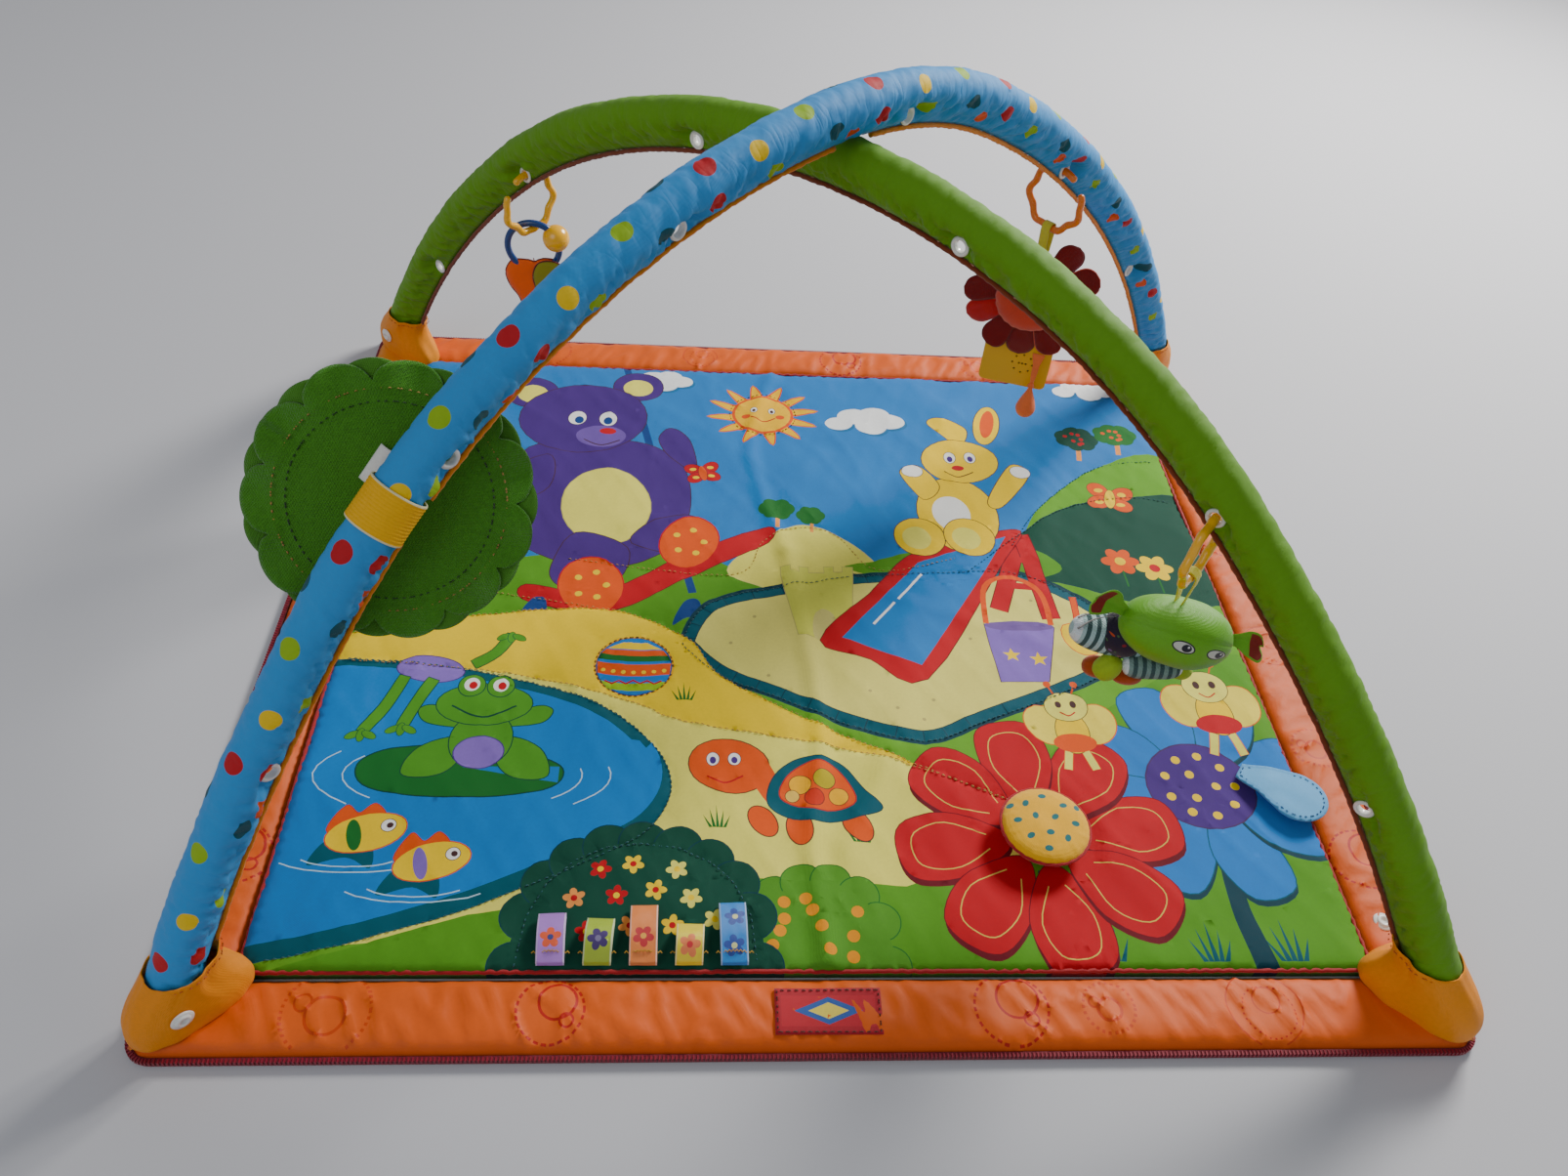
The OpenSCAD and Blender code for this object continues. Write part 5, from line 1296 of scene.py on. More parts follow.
cushion = {"x": 162, "y": -234, "z": 18.8, "r": 31.5, "h": 15.5}
plushDots = Print()
for x, y, turn in ((0, 21, 10), (-13, 15, 60), (14, 13, 20), (-21, 1, 5), (-8, 4, 80), (6, 3, 40), (20, -2, 0), (-14, -12, 30),
        (0, -10, 10), (12, -14, 70), (-3, -22, 0), (24, 12, 60), (-24, 14, 30)):
    plushDots.add(oval(x, y, 3.0, 2.2, turn, 18), paint(20, 112, 116))
def puffedCushion():
    r = cushion["r"]
    vs, fs, cs = cutPrint(oval(0, 0, r, n=72), paint(248, 184, 0), plushDots.shapes, 1.6)
    pts = []
    for x, y in vs:
        f = min(1.0, hypot(x, y) / r)
        a = atan2(y, x)
        pucker = 0.5 * sin(a * 26) * smooth(0.8, 1, f) + 0.9 * wobble(x / 16, y / 16, 2) * (1 - f ** 4) + 0.5 * max(0,
            1 - 3 * abs(wobble(a * 3, f * 2, 4))) * smooth(0.5, 0.9, f)
        z = cushion["h"] * 0.5 + cushion["h"] * 0.5 * sqrt(max(0, 1 - f ** 2.6)) + pucker * (1 - f ** 8)
        pts.append(((cushion["x"] + x) / 1000, (cushion["y"] + y) / 1000, (cushion["z"] + z) / 1000))
    obj = makePiece("puffedCushion", pts, fs, [cloth("cushionPlush", attribute="printColour", threads=900, weave=0.5, rough=0.75,
        sheen=0.3, fade=0.15, fleck=0.2, fuzz=0.6)], "cushion", ["flower_cushion"])
    dye(obj, cs)
    bm = openMesh(obj)
    edge = [e for e in bm.edges if len(e.link_faces) == 1]
    mid = Vector((cushion["x"], cushion["y"], 0)) / 1000
    for step in range(6):
        made = bmesh.ops.extrude_edge_only(bm, edges=edge)["geom"]
        a = radians(15 * (step + 1))
        for v in made:
            if isinstance(v, bmesh.types.BMVert):
                flat = Vector((v.co.x - mid.x, v.co.y - mid.y, 0))
                k = (r - 8 * (1 - cos(a))) / 1000 / flat.length
                v.co = Vector((mid.x + flat.x * k, mid.y + flat.y * k, (cushion["z"] + cushion["h"] * 0.5 * (1 - sin(a))) / 1000))
        edge = [e for e in made if isinstance(e, bmesh.types.BMEdge)]
    bmesh.ops.contextual_create(bm, geom=edge)
    closeMesh(obj, bm)
    redRim = cloth("cushionRim", paint(176, 20, 36), threads=1500, weave=0.5, rough=0.7)
    ring = [Vector((cushion["x"] + (r + 0.2) * cos(a), cushion["y"] + (r + 0.2) * sin(a),
        cushion["z"] + cushion["h"] * 0.5 + 0.3 * sin(26 * a))) / 1000 for a in (2 * pi * k / 90 for k in range(90))]
    tube("cushionPiping", ring, 0.0012, [redRim], "cushion", sides=8, closed=True, wave=0.2)
puffedCushion()

def loosePetal():
    x0, y0, turn, length, w, z0 = 326, -176, radians(-38), 66, 44, 20.1
    c, s = cos(turn), sin(turn)
    shape = [(0, 7), (0, -7)] + [(length - w / 2 + w / 2 * cos(radians(a)), w / 2 * sin(radians(a))) for a in range(-105, 106, 6)]
    edge = grow(leftHanded(shape), -3.2)
    vs, fs, cs = cutPrint(leftHanded(shape), paint(84, 160, 214), [(edge, paint(96, 172, 224))], 2.0)
    cotton = cloth("petalCotton", attribute="printColour", threads=1100, weave=0.35, rough=0.66, sheen=0.2, fade=0.15, fleck=0.12)
    def up(x, y):
        rim = min(1.0, max(0.0, (22 - hypot(max(0, x - 44), y)) / 22)) if x > 44 else min(1.0, (24 - abs(y)) / 24)
        away = smooth(0, 22, x)  # the fold at its root lies low, so that it can turn
        return z0 - 3.7 * (1 - away) + 2.0 * sqrt(max(0, rim)) * (0.25 + 0.75 * away) + 0.7 * away * wobble(x / 15, y / 15,
            4) + 1.5 * smooth(30, 66, x)
    obj = makePiece("loosePetal", [((x0 + x * c - y * s) / 1000, (y0 + x * s + y * c) / 1000, up(x, y) / 1000) for x, y in vs], fs,
        [cotton], "flap", ["petal_flap"])
    dye(obj, cs)
    thicken(obj, 0.0018)
    faceOut(obj)
    line = [((x0 + x * c - y * s) / 1000, (y0 + x * s + y * c) / 1000, (up(x, y) + 0.9) / 1000) for x, y in closeLine(edge)]
    threadRun("petalStitch", line, cloth("petalThread", paint(30, 90, 150), threads=2500, weave=0.5, rough=0.6), "flap")
loosePetal()

ribbons = [("lilac", 34, paint(176, 120, 214), ((0, 16, paint(234, 88, 40), paint(40, 50, 130)),)),
    ("lime", 30, paint(164, 190, 30), ((0, 14, paint(56, 24, 104), paint(120, 110, 150)),)),
    ("orange", 40, paint(236, 130, 50), ((0, 17, paint(196, 16, 32), paint(240, 170, 60)),)),
        ("yellow", 26, paint(244, 220, 16), ((0, 10, paint(244, 130, 70), paint(220, 30, 40)),)),
    ("blue", 42, paint(20, 130, 214), ((0, 11, paint(16, 64, 160), paint(220, 220, 150)),
        (1, 31, paint(16, 64, 160), paint(220, 220, 150))))]
def ribbonLoop(i, name, length, colour, flowers):
    w, x0, y0 = 18.0, -177 + 29.5 * i, -333
    reach = length * 2 + 4
    art = Print()
    for side in (-1, 1):
        art.add([(side * (w / 2 - 0.9), 0), (side * w / 2, 0), (side * w / 2, reach), (side * (w / 2 - 0.9), reach)],
            mixPaint(colour, paint(255, 255, 255), 0.35))
    for dx, y, leaf, centre in flowers:
        for k in range(5):
            a = radians(18 + 72 * k + 20 * i)
            art.add(oval(dx * 1.2 + 4.2 * cos(a), y + 4.2 * sin(a), 2.9, 2.5, degrees(a), 14), leaf)
        art.add(oval(dx * 1.2, y, 2.0, n=14), centre)
    vs, fs, cs = cutPrint([(-w / 2, 0), (w / 2, 0), (w / 2, reach), (-w / 2, reach)], colour, art.shapes, 1.6)
    satinRibbon = cloth(name + "Ribbon", attribute="printColour", threads=1400, ribs=3.0, weave=0.3, rough=0.34, sheen=0.2,
        fade=0.12, fleck=0.08, gloss=0.7)
    pts = []
    lean = radians((-2.5, 2, -1, 1.5, -2)[i])
    for x, y in vs:  # up the front face, round the fold and down the back face
        arch = 5.5 + 2.5 * (i % 2)
        if y < length:
            u, up = y, 2.4 + arch * sin(pi * min(1, y / length) * 0.9) ** 1.1
        elif y < length + 4:
            a = pi * (y - length) / 4
            u, up = length + 1.6 * sin(a), 1.3 + 1.1 * cos(a) + arch * sin(pi * 0.9) ** 1.1
        else:
            f = 1 - (y - length - 4) / length
            u, up = f * length, 0.2 + 0.55 * arch * sin(pi * f * 0.9) ** 1.1
        base = 13.2
        u2 = u * cos(lean) - x * sin(lean)
        pts.append(((x0 + x * cos(lean) + u * sin(lean)) / 1000, (y0 + max(0.2, u2)) / 1000,
            (base + up + 0.25 * wobble(x / 6, y / 9, i)) / 1000))
    obj = makePiece(name + "RibbonLoop", pts, fs, [satinRibbon], "mat", ["ribbon_tags"] if i == 0 else [])
    dye(obj, cs)
    thicken(obj, 0.0004)
    faceOut(obj)
    zig = [Vector(((x0 - 12 + 24 * k / 20) / 1000, (y0 + 7.4 + (0.7 if k % 2 else -0.7)) / 1000,
        (17.4 + 2.0 * sin(pi * min(1, max(0, (k - 3) / 14)))) / 1000)) for k in range(21)]
    tube(name + "Zigzag", zig, 0.00045, [threadGold], "mat", sides=6)
threadGold = sewingThread("goldThread", paint(206, 158, 40))
for i, (name, length, colour, flowers) in enumerate(ribbons):
    ribbonLoop(i, name, length, colour, flowers)

def borderHeight(u, v, side, seed):
    bulge = max(0.0, 1 - abs(2 * v - 1) ** 3.2) ** 0.5
    return 2.6 + (border["high"] - 2.6) * bulge + 1.5 * wobble(u / 60, v * 1.2, side * 4.0 + seed) * bulge ** 0.5

def wovenLabel():
    art = Print()
    art.add([(-30, -10), (30, -10), (30, 10), (-30, 10)], paint(196, 20, 40))
    art.add([(-22, 0), (0, -9), (22, 0), (0, 9)], paint(40, 90, 170))
    art.add([(-13, 0), (0, -5.5), (13, 0), (0, 5.5)], paint(240, 220, 80))
    vs, fs, cs = cutPrint([(-34, -15), (34, -15), (34, 15), (-34, 15)], paint(180, 10, 34), art.shapes, 2.5)
    pts = []
    for x, y in vs:
        v = (y - 363 + 388) / 54
        pts.append((x / 1000, (y - 363) / 1000, (borderHeight(x, v, -1, 0) + 1.6) / 1000))
    woven = cloth("wovenLabel", attribute="printColour", threads=1500, ribs=2.0, weave=0.4, rough=0.5, sheen=0.2, fade=0.1, fleck=0.15)
    obj = makePiece("wovenLabel", pts, fs, [woven], "mat", ["maker_label"])
    dye(obj, cs)
    thicken(obj, 0.0006)
    faceOut(obj)
    edge = [(p[0], p[1]) for p in ((-32.5, -13.5), (32.5, -13.5), (32.5, 13.5), (-32.5, 13.5), (-32.5, -13.5))]
    line = []
    for a, b in zip(edge, edge[1:]):
        line += [(a[0] + (b[0] - a[0]) * k / 14, a[1] + (b[1] - a[1]) * k / 14) for k in range(14)]
    threadRun("labelStitch", [(x / 1000, (y - 363) / 1000, (borderHeight(x, (y - 363 + 388) / 54, -1, 0) + 2.0) / 1000) for x,
        y in line], threadDark, "mat")
wovenLabel()
print("cushion, petal, ribbons and label made")

# ---------- links ----------

def hangPoint(leg, angle):  # middle of an eyelet
    centre, out, crown, across = legFrame(leg, angle)
    return (centre - out * 13.5) / 1000

def hangAxes(leg):
    t = radians(leg[3])
    return Vector((cos(t), sin(t), 0)), Vector((-sin(t), cos(t), 0)), Vector((0, 0, 1))

link = {"ring": 24.0, "gapFrom": 28, "gapTo": 66}
def wavyLink(name, node, body, leg, side, material):
    top = hangPoint(leg, leg[4][1])
    ax, ay, az = hangAxes(leg)
    n, path = 150, []
    for k in range(n + 1):
        a = radians(link["gapTo"] + (360 - link["gapTo"] + link["gapFrom"]) * k / n)
        r = link["ring"] + 1.5 * sin(a * 7 + 0.6) * smooth(0, 20,
            min(k, n - k)) * (1 - exp(-((degrees(a) - 360) / 14) ** 2)) * (1 - exp(-((degrees(a) - 180) / 16) ** 2))
        path.append(top + (ay * side * r * sin(a) + az * (r * cos(a) - link["ring"])) / 1000)
    def thick(f):
        bump = 0.24 * abs(sin(pi * f * 12)) ** 4
        return (2.8 + bump * (1 if 0.08 < f < 0.92 else 0)) / 1000
    tube(name, path, thick, [material], body, [node], sides=16, turnWith=ax)
    for q, tag in ((path[0], "EndA"), (path[-1], "EndB")):
        dropAll()
        bpy.ops.mesh.primitive_uv_sphere_add(segments=24, ring_count=14, radius=0.0028, location=(0, 0, 0))
        ball2 = bpy.context.active_object
        ball2.name = name + tag
        ball2.data.transform(Matrix.Translation(q))
        ball2.data.materials.append(material)
        bpy.ops.object.shade_smooth()
        settle(ball2, body)

yellowPlastic = plastic("yellowPlastic", paint(250, 184, 8), rough=0.24, coat=0.5)
orangePlastic = plastic("orangePlastic", paint(238, 120, 12), rough=0.28, coat=0.4)
navyPlastic = plastic("navyPlastic", paint(10, 58, 128), rough=0.24, coat=0.5)
wavyLink("teetherLinkWavy", "teether_link", "teether_hook", gb, 1, yellowPlastic)
wavyLink("petalToyLinkWavy", "petal_toy_link", "petal_toy_hook", bb, -1, orangePlastic)
wavyLink("plushLinkWavy", "plush_link", "plush_hook", gf, 1, yellowPlastic)

# ---------- teether ----------

def turnedAxes(leg, turn, flip):  # axes of a toy hung under a link, in world directions
    ax, ay, az = hangAxes(leg)
    c, s = cos(radians(turn)), sin(radians(turn))
    bx, by = ax * c + ay * s, ay * c - ax * s
    return (bx, az, -by) if flip else (bx, by, az)

ringX, ringY, ringZ = turnedAxes(gb, 40, True)
ringMid = hangPoint(gb, gb[4][1]) + Vector((0, 0, -0.048 + (5.75 - 21.5) / 1000))
def onRing(x, y, z):
    return ringMid + (ringX * x + ringY * y + ringZ * z) / 1000

tube("teetherRingMoulded", [onRing(21.5 * cos(a), 21.5 * sin(a), 0) for a in (2 * pi * k / 110 for k in range(110))], 0.0028,
    [navyPlastic], "teether", ["teether_ring"], sides=18, closed=True, turnWith=ringZ)

def stuffed(name, outline, grid, place, mid, deep, material, body, stands, seam=None, seed=1.0, pucker=0.3, dots=(),
        puff=9.0, hollow=None, ground=None):
    # a flat stuffed shape: both faces bulge and meet in a seam round the outline
    outline = leftHanded(outline)
    vs, fs, cs = cutPrint(outline, ground or (1, 1, 1, 1), dots, grid)
    gap, run = distanceTo([closeLine(outline)], np.array(vs))
    n = len(vs)
    top, low = [], []
    for (x, y), g, s in zip(vs, gap, run):
        f = sqrt(max(0.0, 1 - (1 - min(1.0, g / puff)) ** 2))
        w = 0.5 * pucker * sin(s * 2 * pi / 3.4) * exp(-g / 2.4) + 0.5 * wobble(x / 11, y / 11, seed) * f
        h = deep * f + w * min(1, g)
        h2 = deep * f - w * min(1, g)
        if hollow:
            h, h2 = hollow(x, y, h), hollow(x, y, h2)
        rim = g < 0.01
        top.append(place(x, y, mid + (0 if rim else max(0.05, h))))
        low.append(place(x, y, mid - (0 if rim else max(0.05, h2))))
    faces = [tuple(f) for f in fs] + [tuple(n + i for i in reversed(f)) for f in fs]
    obj = makePiece(name, top + low, faces, [material], body, stands)
    if ground:
        dye(obj, cs + cs)
    bm = openMesh(obj)
    bm.verts.ensure_lookup_table()
    rim = [i for i in range(n) if gap[i] < 0.01]
    bmesh.ops.remove_doubles(bm, verts=[bm.verts[i] for i in rim] + [bm.verts[n + i] for i in rim], dist=0.00004)
    closeMesh(obj, bm)
    if seam:
        path = [Vector(place(x, y, mid)) for x, y in outline]
        tube(name + "Seam", path, 0.0006, [seam], body, sides=6, closed=True, wave=0.3)
    return obj

seamDark = cloth("darkSeam", paint(110, 20, 16), threads=2400, weave=0.5, rough=0.7)
orangeCotton = cloth("orangeToyCotton", paint(250, 96, 12), threads=1100, weave=0.3, rough=0.62, sheen=0.2, fade=0.15, fleck=0.15)
oliveCotton = cloth("oliveToyCotton", paint(140, 138, 20), threads=1100, weave=0.3, rough=0.66, sheen=0.2, fade=0.2, fleck=0.15)
leafOutline = curve([(0, -13.5), (7, -12.2), (19, -13.5), (25.5, -24), (23, -37), (15.5, -50), (11.5, -68), (10.5, -87),
    (-12.5, -87), (-14, -66), (-18, -48), (-23.5, -35), (-23.8, -23), (-18, -12), (-9, -10.2), (-3, -12)], True, 5)
stuffed("leafOrange", leafOutline, 2.6, onRing, 0, 3.4, orangeCotton, "teether", ["teether_leaf"], seamDark, 2.0, 0.35)
petalOutline = curve([(-13, -9.4), (-3, -13), (1.6, -24), (0, -36), (-3, -52), (-5.5, -65.5), (-15.5, -65.5), (-19, -50),
    (-26, -34), (-27.6, -24), (-23, -13)], True, 5)
stuffed("leafOlive", petalOutline, 2.6, onRing, -5.4, 1.7, oliveCotton, "teether", ["teether_petal"], seamDark, 4.0, 0.25)
lilacCotton = cloth("lilacToyCotton", paint(150, 130, 200), threads=1300, weave=0.3, rough=0.7, sheen=0.3)
dropOutline = [(5, -88.2), (-5, -88.2)] + [(9 * sin(radians(a)), -88 - 13 - 9 * cos(radians(a))) for a in range(-105, 106, 8)]
stuffed("lilacDrop", dropOutline, 2.0, onRing, 0, 2.4, lilacCotton, "teether", ["teether_drop"], seamDark, 6.0, 0.2, puff=6)
leafFold = [onRing(x, y, 3.5) for x, y in curve([(1.5, -12.6), (-0.5, -30), (3, -52), (8, -66)], False, 8)]
tube("leafCrease", leafFold, 0.00045, [seamDark], "teether", sides=6)

def rattleBall():
    mid = onRing(21.5 * cos(radians(155)), 21.5 * sin(radians(155)), 0)
    dropAll()
    bpy.ops.mesh.primitive_uv_sphere_add(segments=56, ring_count=32, radius=0.0112, location=(0, 0, 0))
    obj = bpy.context.active_object
    obj.name = "rattleBall"
    bm = openMesh(obj)
    for v in bm.verts:  # a moulding line round the middle
        ring = exp(-(v.co.z / 0.0004) ** 2)
        v.co *= 1 + 0.018 * ring
        v.co = mid + ringX * v.co.x + ringY * v.co.y + ringZ * v.co.z
    closeMesh(obj, bm, outwards=False)
    obj.data.materials.append(yellowPlastic)
    bpy.ops.object.shade_smooth()
    settle(obj, "teether", ["teether_ball"])
rattleBall()
print("links and teether made")

# ---------- petal toy ----------

toyX, toyY, toyZ = turnedAxes(bb, -60, True)
toyMid = hangPoint(bb, bb[4][1]) + Vector((0, 0, -0.048 - 0.064))
def onToy(x, y, z):
    return toyMid + (toyX * x + toyY * y + toyZ * z) / 1000

def ribbonThrough(name, node, leg, body, length, colour):  # flat ribbon round the bottom of a link
    foot2 = hangPoint(leg, leg[4][1]) - Vector((0, 0, 0.048))
    ax, ay, az = hangAxes(leg)
    mat2 = cloth(name + "Cloth", colour, threads=1500, ribs=3.0, weave=0.35, rough=0.5, sheen=0.2)
    half2 = [(4.4 * sin(a), 4.4 * cos(a)) for a in (radians(-90 + 12 * k) for k in range(16))]
    side2 = [(4.4 - 2.2 * smooth(0, 1, k / 10), -length * k / 10) for k in range(1, 11)]
    loop2 = [(-x, z) for x, z in reversed(side2)] + half2 + side2
    rows, vs = 6, []
    for x, z in loop2:
        for j in range(rows + 1):
            w = (j / rows - 0.5) * 8
            vs.append(foot2 + (ax * (x + 0.2 * wobble(z / 5, w / 5, 3)) + ay * w + az * z) / 1000)
    obj = makePiece(name, vs, sheetFaces(len(loop2) - 1, rows), [mat2], body, [node])
    thicken(obj, 0.0007)
    faceOut(obj)
ribbonThrough("petalToyRibbon", "petal_toy_loop", bb, "petal_toy", 32, paint(216, 206, 60))

redPlush = cloth("orangeRedPlush", paint(216, 62, 30), threads=900, weave=0.7, rough=0.85, sheen=0.45, fade=0.2, fleck=0.35, fuzz=1.6)
darkRedFelt = cloth("darkRedFelt", paint(124, 8, 14), threads=900, weave=0.7, rough=0.9, sheen=0.3, fade=0.25, fleck=0.3, fuzz=1.2)
brightRedFelt = cloth("brightRedFelt", paint(196, 14, 22), threads=900, weave=0.6, rough=0.88, sheen=0.3, fade=0.2, fleck=0.3, fuzz=1.0)
liningLilac = cloth("lilacLining", paint(146, 128, 194), threads=1100, weave=0.4, rough=0.75, sheen=0.25)
petalEdge = cloth("petalEdge", paint(226, 90, 70), threads=1800, weave=0.5, rough=0.7)

def toyCore():
    around, prof = 96, []
    for k in range(41):
        a = radians(-90 + 180 * k / 40)
        prof.append((31 * cos(a) ** 0.55 if cos(a) > 0 else 0, 12.9 * (1 if a > 0 else -1) * abs(sin(a)) ** 0.85))
    vs = []
    for j, (r, z) in enumerate(prof):
        for i in range(around):
            b = 2 * pi * i / around
            groove = 5.2 * exp(-(z / 3.6) ** 4)
            w = 0.5 * wobble(cos(b) * 2, sin(b) * 2, z / 8) + 0.35 * sin(b * 22) * exp(-((abs(z) - 6) / 3) ** 2)
            q = max(0.2, r - groove + w * min(1, r / 9))
            vs.append(onToy(q * cos(b), q * sin(b), z + 0.4 * wobble(q * cos(b) / 12, q * sin(b) / 12, 8)))
    fs = ringFaces(len(prof), around) + endFaces(len(prof), around)
    obj = makePiece("flowerCore", vs, fs, [redPlush], "petal_toy", ["petal_toy_core"])
    faceOut(obj)
toyCore()

def toyPetal(k):  # one doubled petal: felt on the front, lilac cotton on the back, curled at its tip
    turn = radians(90 + (k + 1) * 30)
    long2, w2 = (33.0, 12.2) if k % 2 else (31.5, 11.6)
    curl = (3.8, -2.4, 5.2, -3.2, 4.4, -4.2, 2.2, 4.8, -2.0, 3.4, -3.6)[k]
    roll = (0.22, -0.15, 0.1, -0.25, 0.18, -0.1, 0.2, -0.2, 0.12, -0.16, 0.2)[k]
    c, s = cos(turn), sin(turn)
    cols, rows = 14, 20
    def at(u, v, side):
        f = v / rows
        half2 = w2 * (0.52 + 0.48 * sin(pi * min(1, f * 1.25) / 2)) * sqrt(max(0.0, 1 - max(0, (f - 0.62) / 0.38) ** 2.2))
        r = 25.6 + long2 * f
        x = half2 * (2 * u / cols - 1)
        z = curl * f * f + roll * x * f + 1.2 * (x / w2) ** 2 * (1 if curl > 0 else -1) * f + 0.5 * wobble(x / 6, r / 8, k)
        edge = min(1.0, min(u, cols - u, rows - v) / 2.2)
        z += side * (0.35 + 1.1 * sqrt(max(0, edge)))
        r = r * c - x * s, r * s + x * c
        return onToy(r[0], r[1], z)
    for side, material, slotName, tag in ((1, brightRedFelt if k in (3, 7) else darkRedFelt, "dark_red_felt", "Felt"),
            (-1, liningLilac, "lilac_fabric", "Lining")):
        vs = [at(u, v, side) for v in range(rows + 1) for u in range(cols + 1)] + [at(u, v, side * 0.18) for v in range(rows + 1)
            for u in range(cols + 1)]
        w = cols + 1
        n = (rows + 1) * w
        fs = [(v * w + u, v * w + u + 1, (v + 1) * w + u + 1, (v + 1) * w + u) for v in range(rows) for u in range(cols)]
        fs += [(n + v * w + u, n + (v + 1) * w + u, n + (v + 1) * w + u + 1, n + v * w + u + 1) for v in range(rows) for u in range(cols)]
        ring2 = list(range(cols)) + [v * w + cols for v in range(rows)] + [rows * w + u for u in range(cols, 0, -1)] + [v * w
            for v in range(rows, 0, -1)]
        fs += [(ring2[i], n + ring2[i], n + ring2[(i + 1) % len(ring2)], ring2[(i + 1) % len(ring2)]) for i in range(len(ring2))]
        stands = (["petal_toy_mane"] if side > 0 else ["petal_toy_lining"]) if k == 0 else []
        obj = makePiece("toyPetal" + tag + str(k), vs, fs, [material], "petal_toy", stands)
        faceOut(obj)
    w = cols + 1
    rimPath = [at(0, v, 0) for v in range(2, rows + 1)] + [at(u, rows, 0) for u in range(1, cols)] + [at(cols, v, 0)
        for v in range(rows, 1, -1)]
    tube("toyPetalEdge" + str(k), rimPath, 0.00055, [petalEdge if k % 3 == 0 else seamDark], "petal_toy", sides=6)
for k in range(11):
    toyPetal(k)

# the music box keeps its two CAD shells and parts
casePlastic = plastic("casePlastic", paint(226, 176, 10), rough=0.36, coat=0.2, grain=0.12)
dressNode("music_case_back", casePlastic)
dressNode("music_case_front", casePlastic)
dressNode("music_speaker", plastic("speakerCone", paint(24, 24, 26), rough=0.55, coat=0.0))
dressNode("music_cells", plastic("buttonCell", paint(190, 190, 186), rough=0.25, coat=0.0, metal=1.0))

def musicPull():
    pullCloth = cloth("orangePullCloth", paint(240, 116, 60), threads=1200, weave=0.35, rough=0.6, sheen=0.25, fleck=0.2)
    top = (18.0, -31 - 14.5 - 4)
    rows, cols, vs = 16, 6, []
    for j in range(rows + 1):
        f = j / rows
        half2 = 3.0 * (1 - 0.35 * smooth(0.6, 1, f)) * (1 + 0.8 * (1 - smooth(0, 0.4, f)))
        for i in range(cols + 1):
            x = half2 * (2 * i / cols - 1)
            bend = 0.5 * sin(pi * f) * 1.5 + 0.3 * wobble(x, f * 4, 1)
            vs.append(onToy(top[0] + x * cos(0.9 * f), top[1] - 32 * f, 5.7 + bend + x * sin(0.9 * f) * 0.5))
    strip = makePiece("pullRibbon", vs, sheetFaces(rows, cols), [pullCloth], "pull", ["music_pull"])
    thicken(strip, 0.0007)
    faceOut(strip)
    prof, around, vs = [], 40, []
    for k in range(31):
        f = k / 30
        r = 1.5 + 7.3 * sin(pi * min(1.0, f ** 1.25)) ** 0.8 if 0 < f < 1 else (1.5 if f == 0 else 0.3)
        if f > 0.72:
            r = 8.8 * sqrt(max(0, 1 - ((f - 0.72) / 0.28) ** 2)) + 0.2
        elif f > 0.1:
            r = 1.5 + 7.3 * smooth(0.02, 0.78, f) ** 1.1
        prof.append((r, -30 - 36 * f))
    for j, (r, y) in enumerate(prof):
        for i in range(around):
            b = 2 * pi * i / around
            q = r * (1 + 0.05 * wobble(cos(b) * 2, sin(b) * 2 + y / 9, 2))
            seam2 = 0.35 * exp(-(((b + pi / 2) % pi - pi / 2) / 0.08) ** 2) * min(1, r / 4)
            vs.append(onToy(top[0] + (q - seam2) * cos(b), top[1] + y, 5.2 + (q - seam2) * sin(b)))
    fs = ringFaces(len(prof), around) + endFaces(len(prof), around)
    drop = makePiece("pullDrop", vs, fs, [pullCloth], "pull")
    faceOut(drop)
musicPull()
print("petal toy made")

# ---------- plush toy ----------

plX, plY, plZ = turnedAxes(gf, 38, False)
plushTop = hangPoint(gf, gf[4][1]) - Vector((0, 0, 0.048))
def onPlush(x, y, z):
    return plushTop + (plX * x + plY * y + plZ * z) / 1000

def softPod(name, stands, material, mid, tilt, face, length, r, power, ground, prints=(), grid=2.2, seams=(0.0,),
        seed=1.0, bulge=0.0, bend=0.0, lump=0.6):
    # a stuffed shape along x; printed flat, then wrapped round with its middle line towards the viewer
    girth = pi * r
    vs, fs, cs = cutPrint([(-length / 2, -girth), (length / 2, -girth), (length / 2, girth), (-length / 2, girth)], ground, prints, grid)
    c, s = cos(radians(tilt)), sin(radians(tilt))
    pts = []
    for x, w in vs:
        f = min(1.0, abs(2 * x / length))
        a = w / r
        q = r * max(0.0, 1 - f ** power) ** 0.5 * (1 + bulge * x / length)
        q += lump * wobble(x / 17, cos(a) * 1.4 + seed, sin(a) * 1.4) * min(1, q / 8)
        for seamAt in seams:
            turn2 = abs((a - seamAt + pi) % (2 * pi) - pi) * r
            q -= (0.9 * exp(-(turn2 / 1.1) ** 2) + 0.25 * sin(x * 1.9) * exp(-turn2 / 4)) * min(1, q / 8)
        down = a + radians(face)
        y, z = -q * cos(down), q * sin(down)
        z += bend * (x / length) ** 2
        pts.append(onPlush(mid[0] + x * c + z * s, mid[1] + y, mid[2] - x * s + z * c))
    obj = makePiece(name, pts, fs, [material], "plush_toy", stands)
    dye(obj, cs)
    bm = openMesh(obj)
    bmesh.ops.remove_doubles(bm, verts=[v for v, q in zip(bm.verts, vs) if abs(abs(q[1]) - girth) < 0.01
        or abs(abs(q[0]) - length / 2) < 0.01], dist=0.00004)
    closeMesh(obj, bm)
    return pts

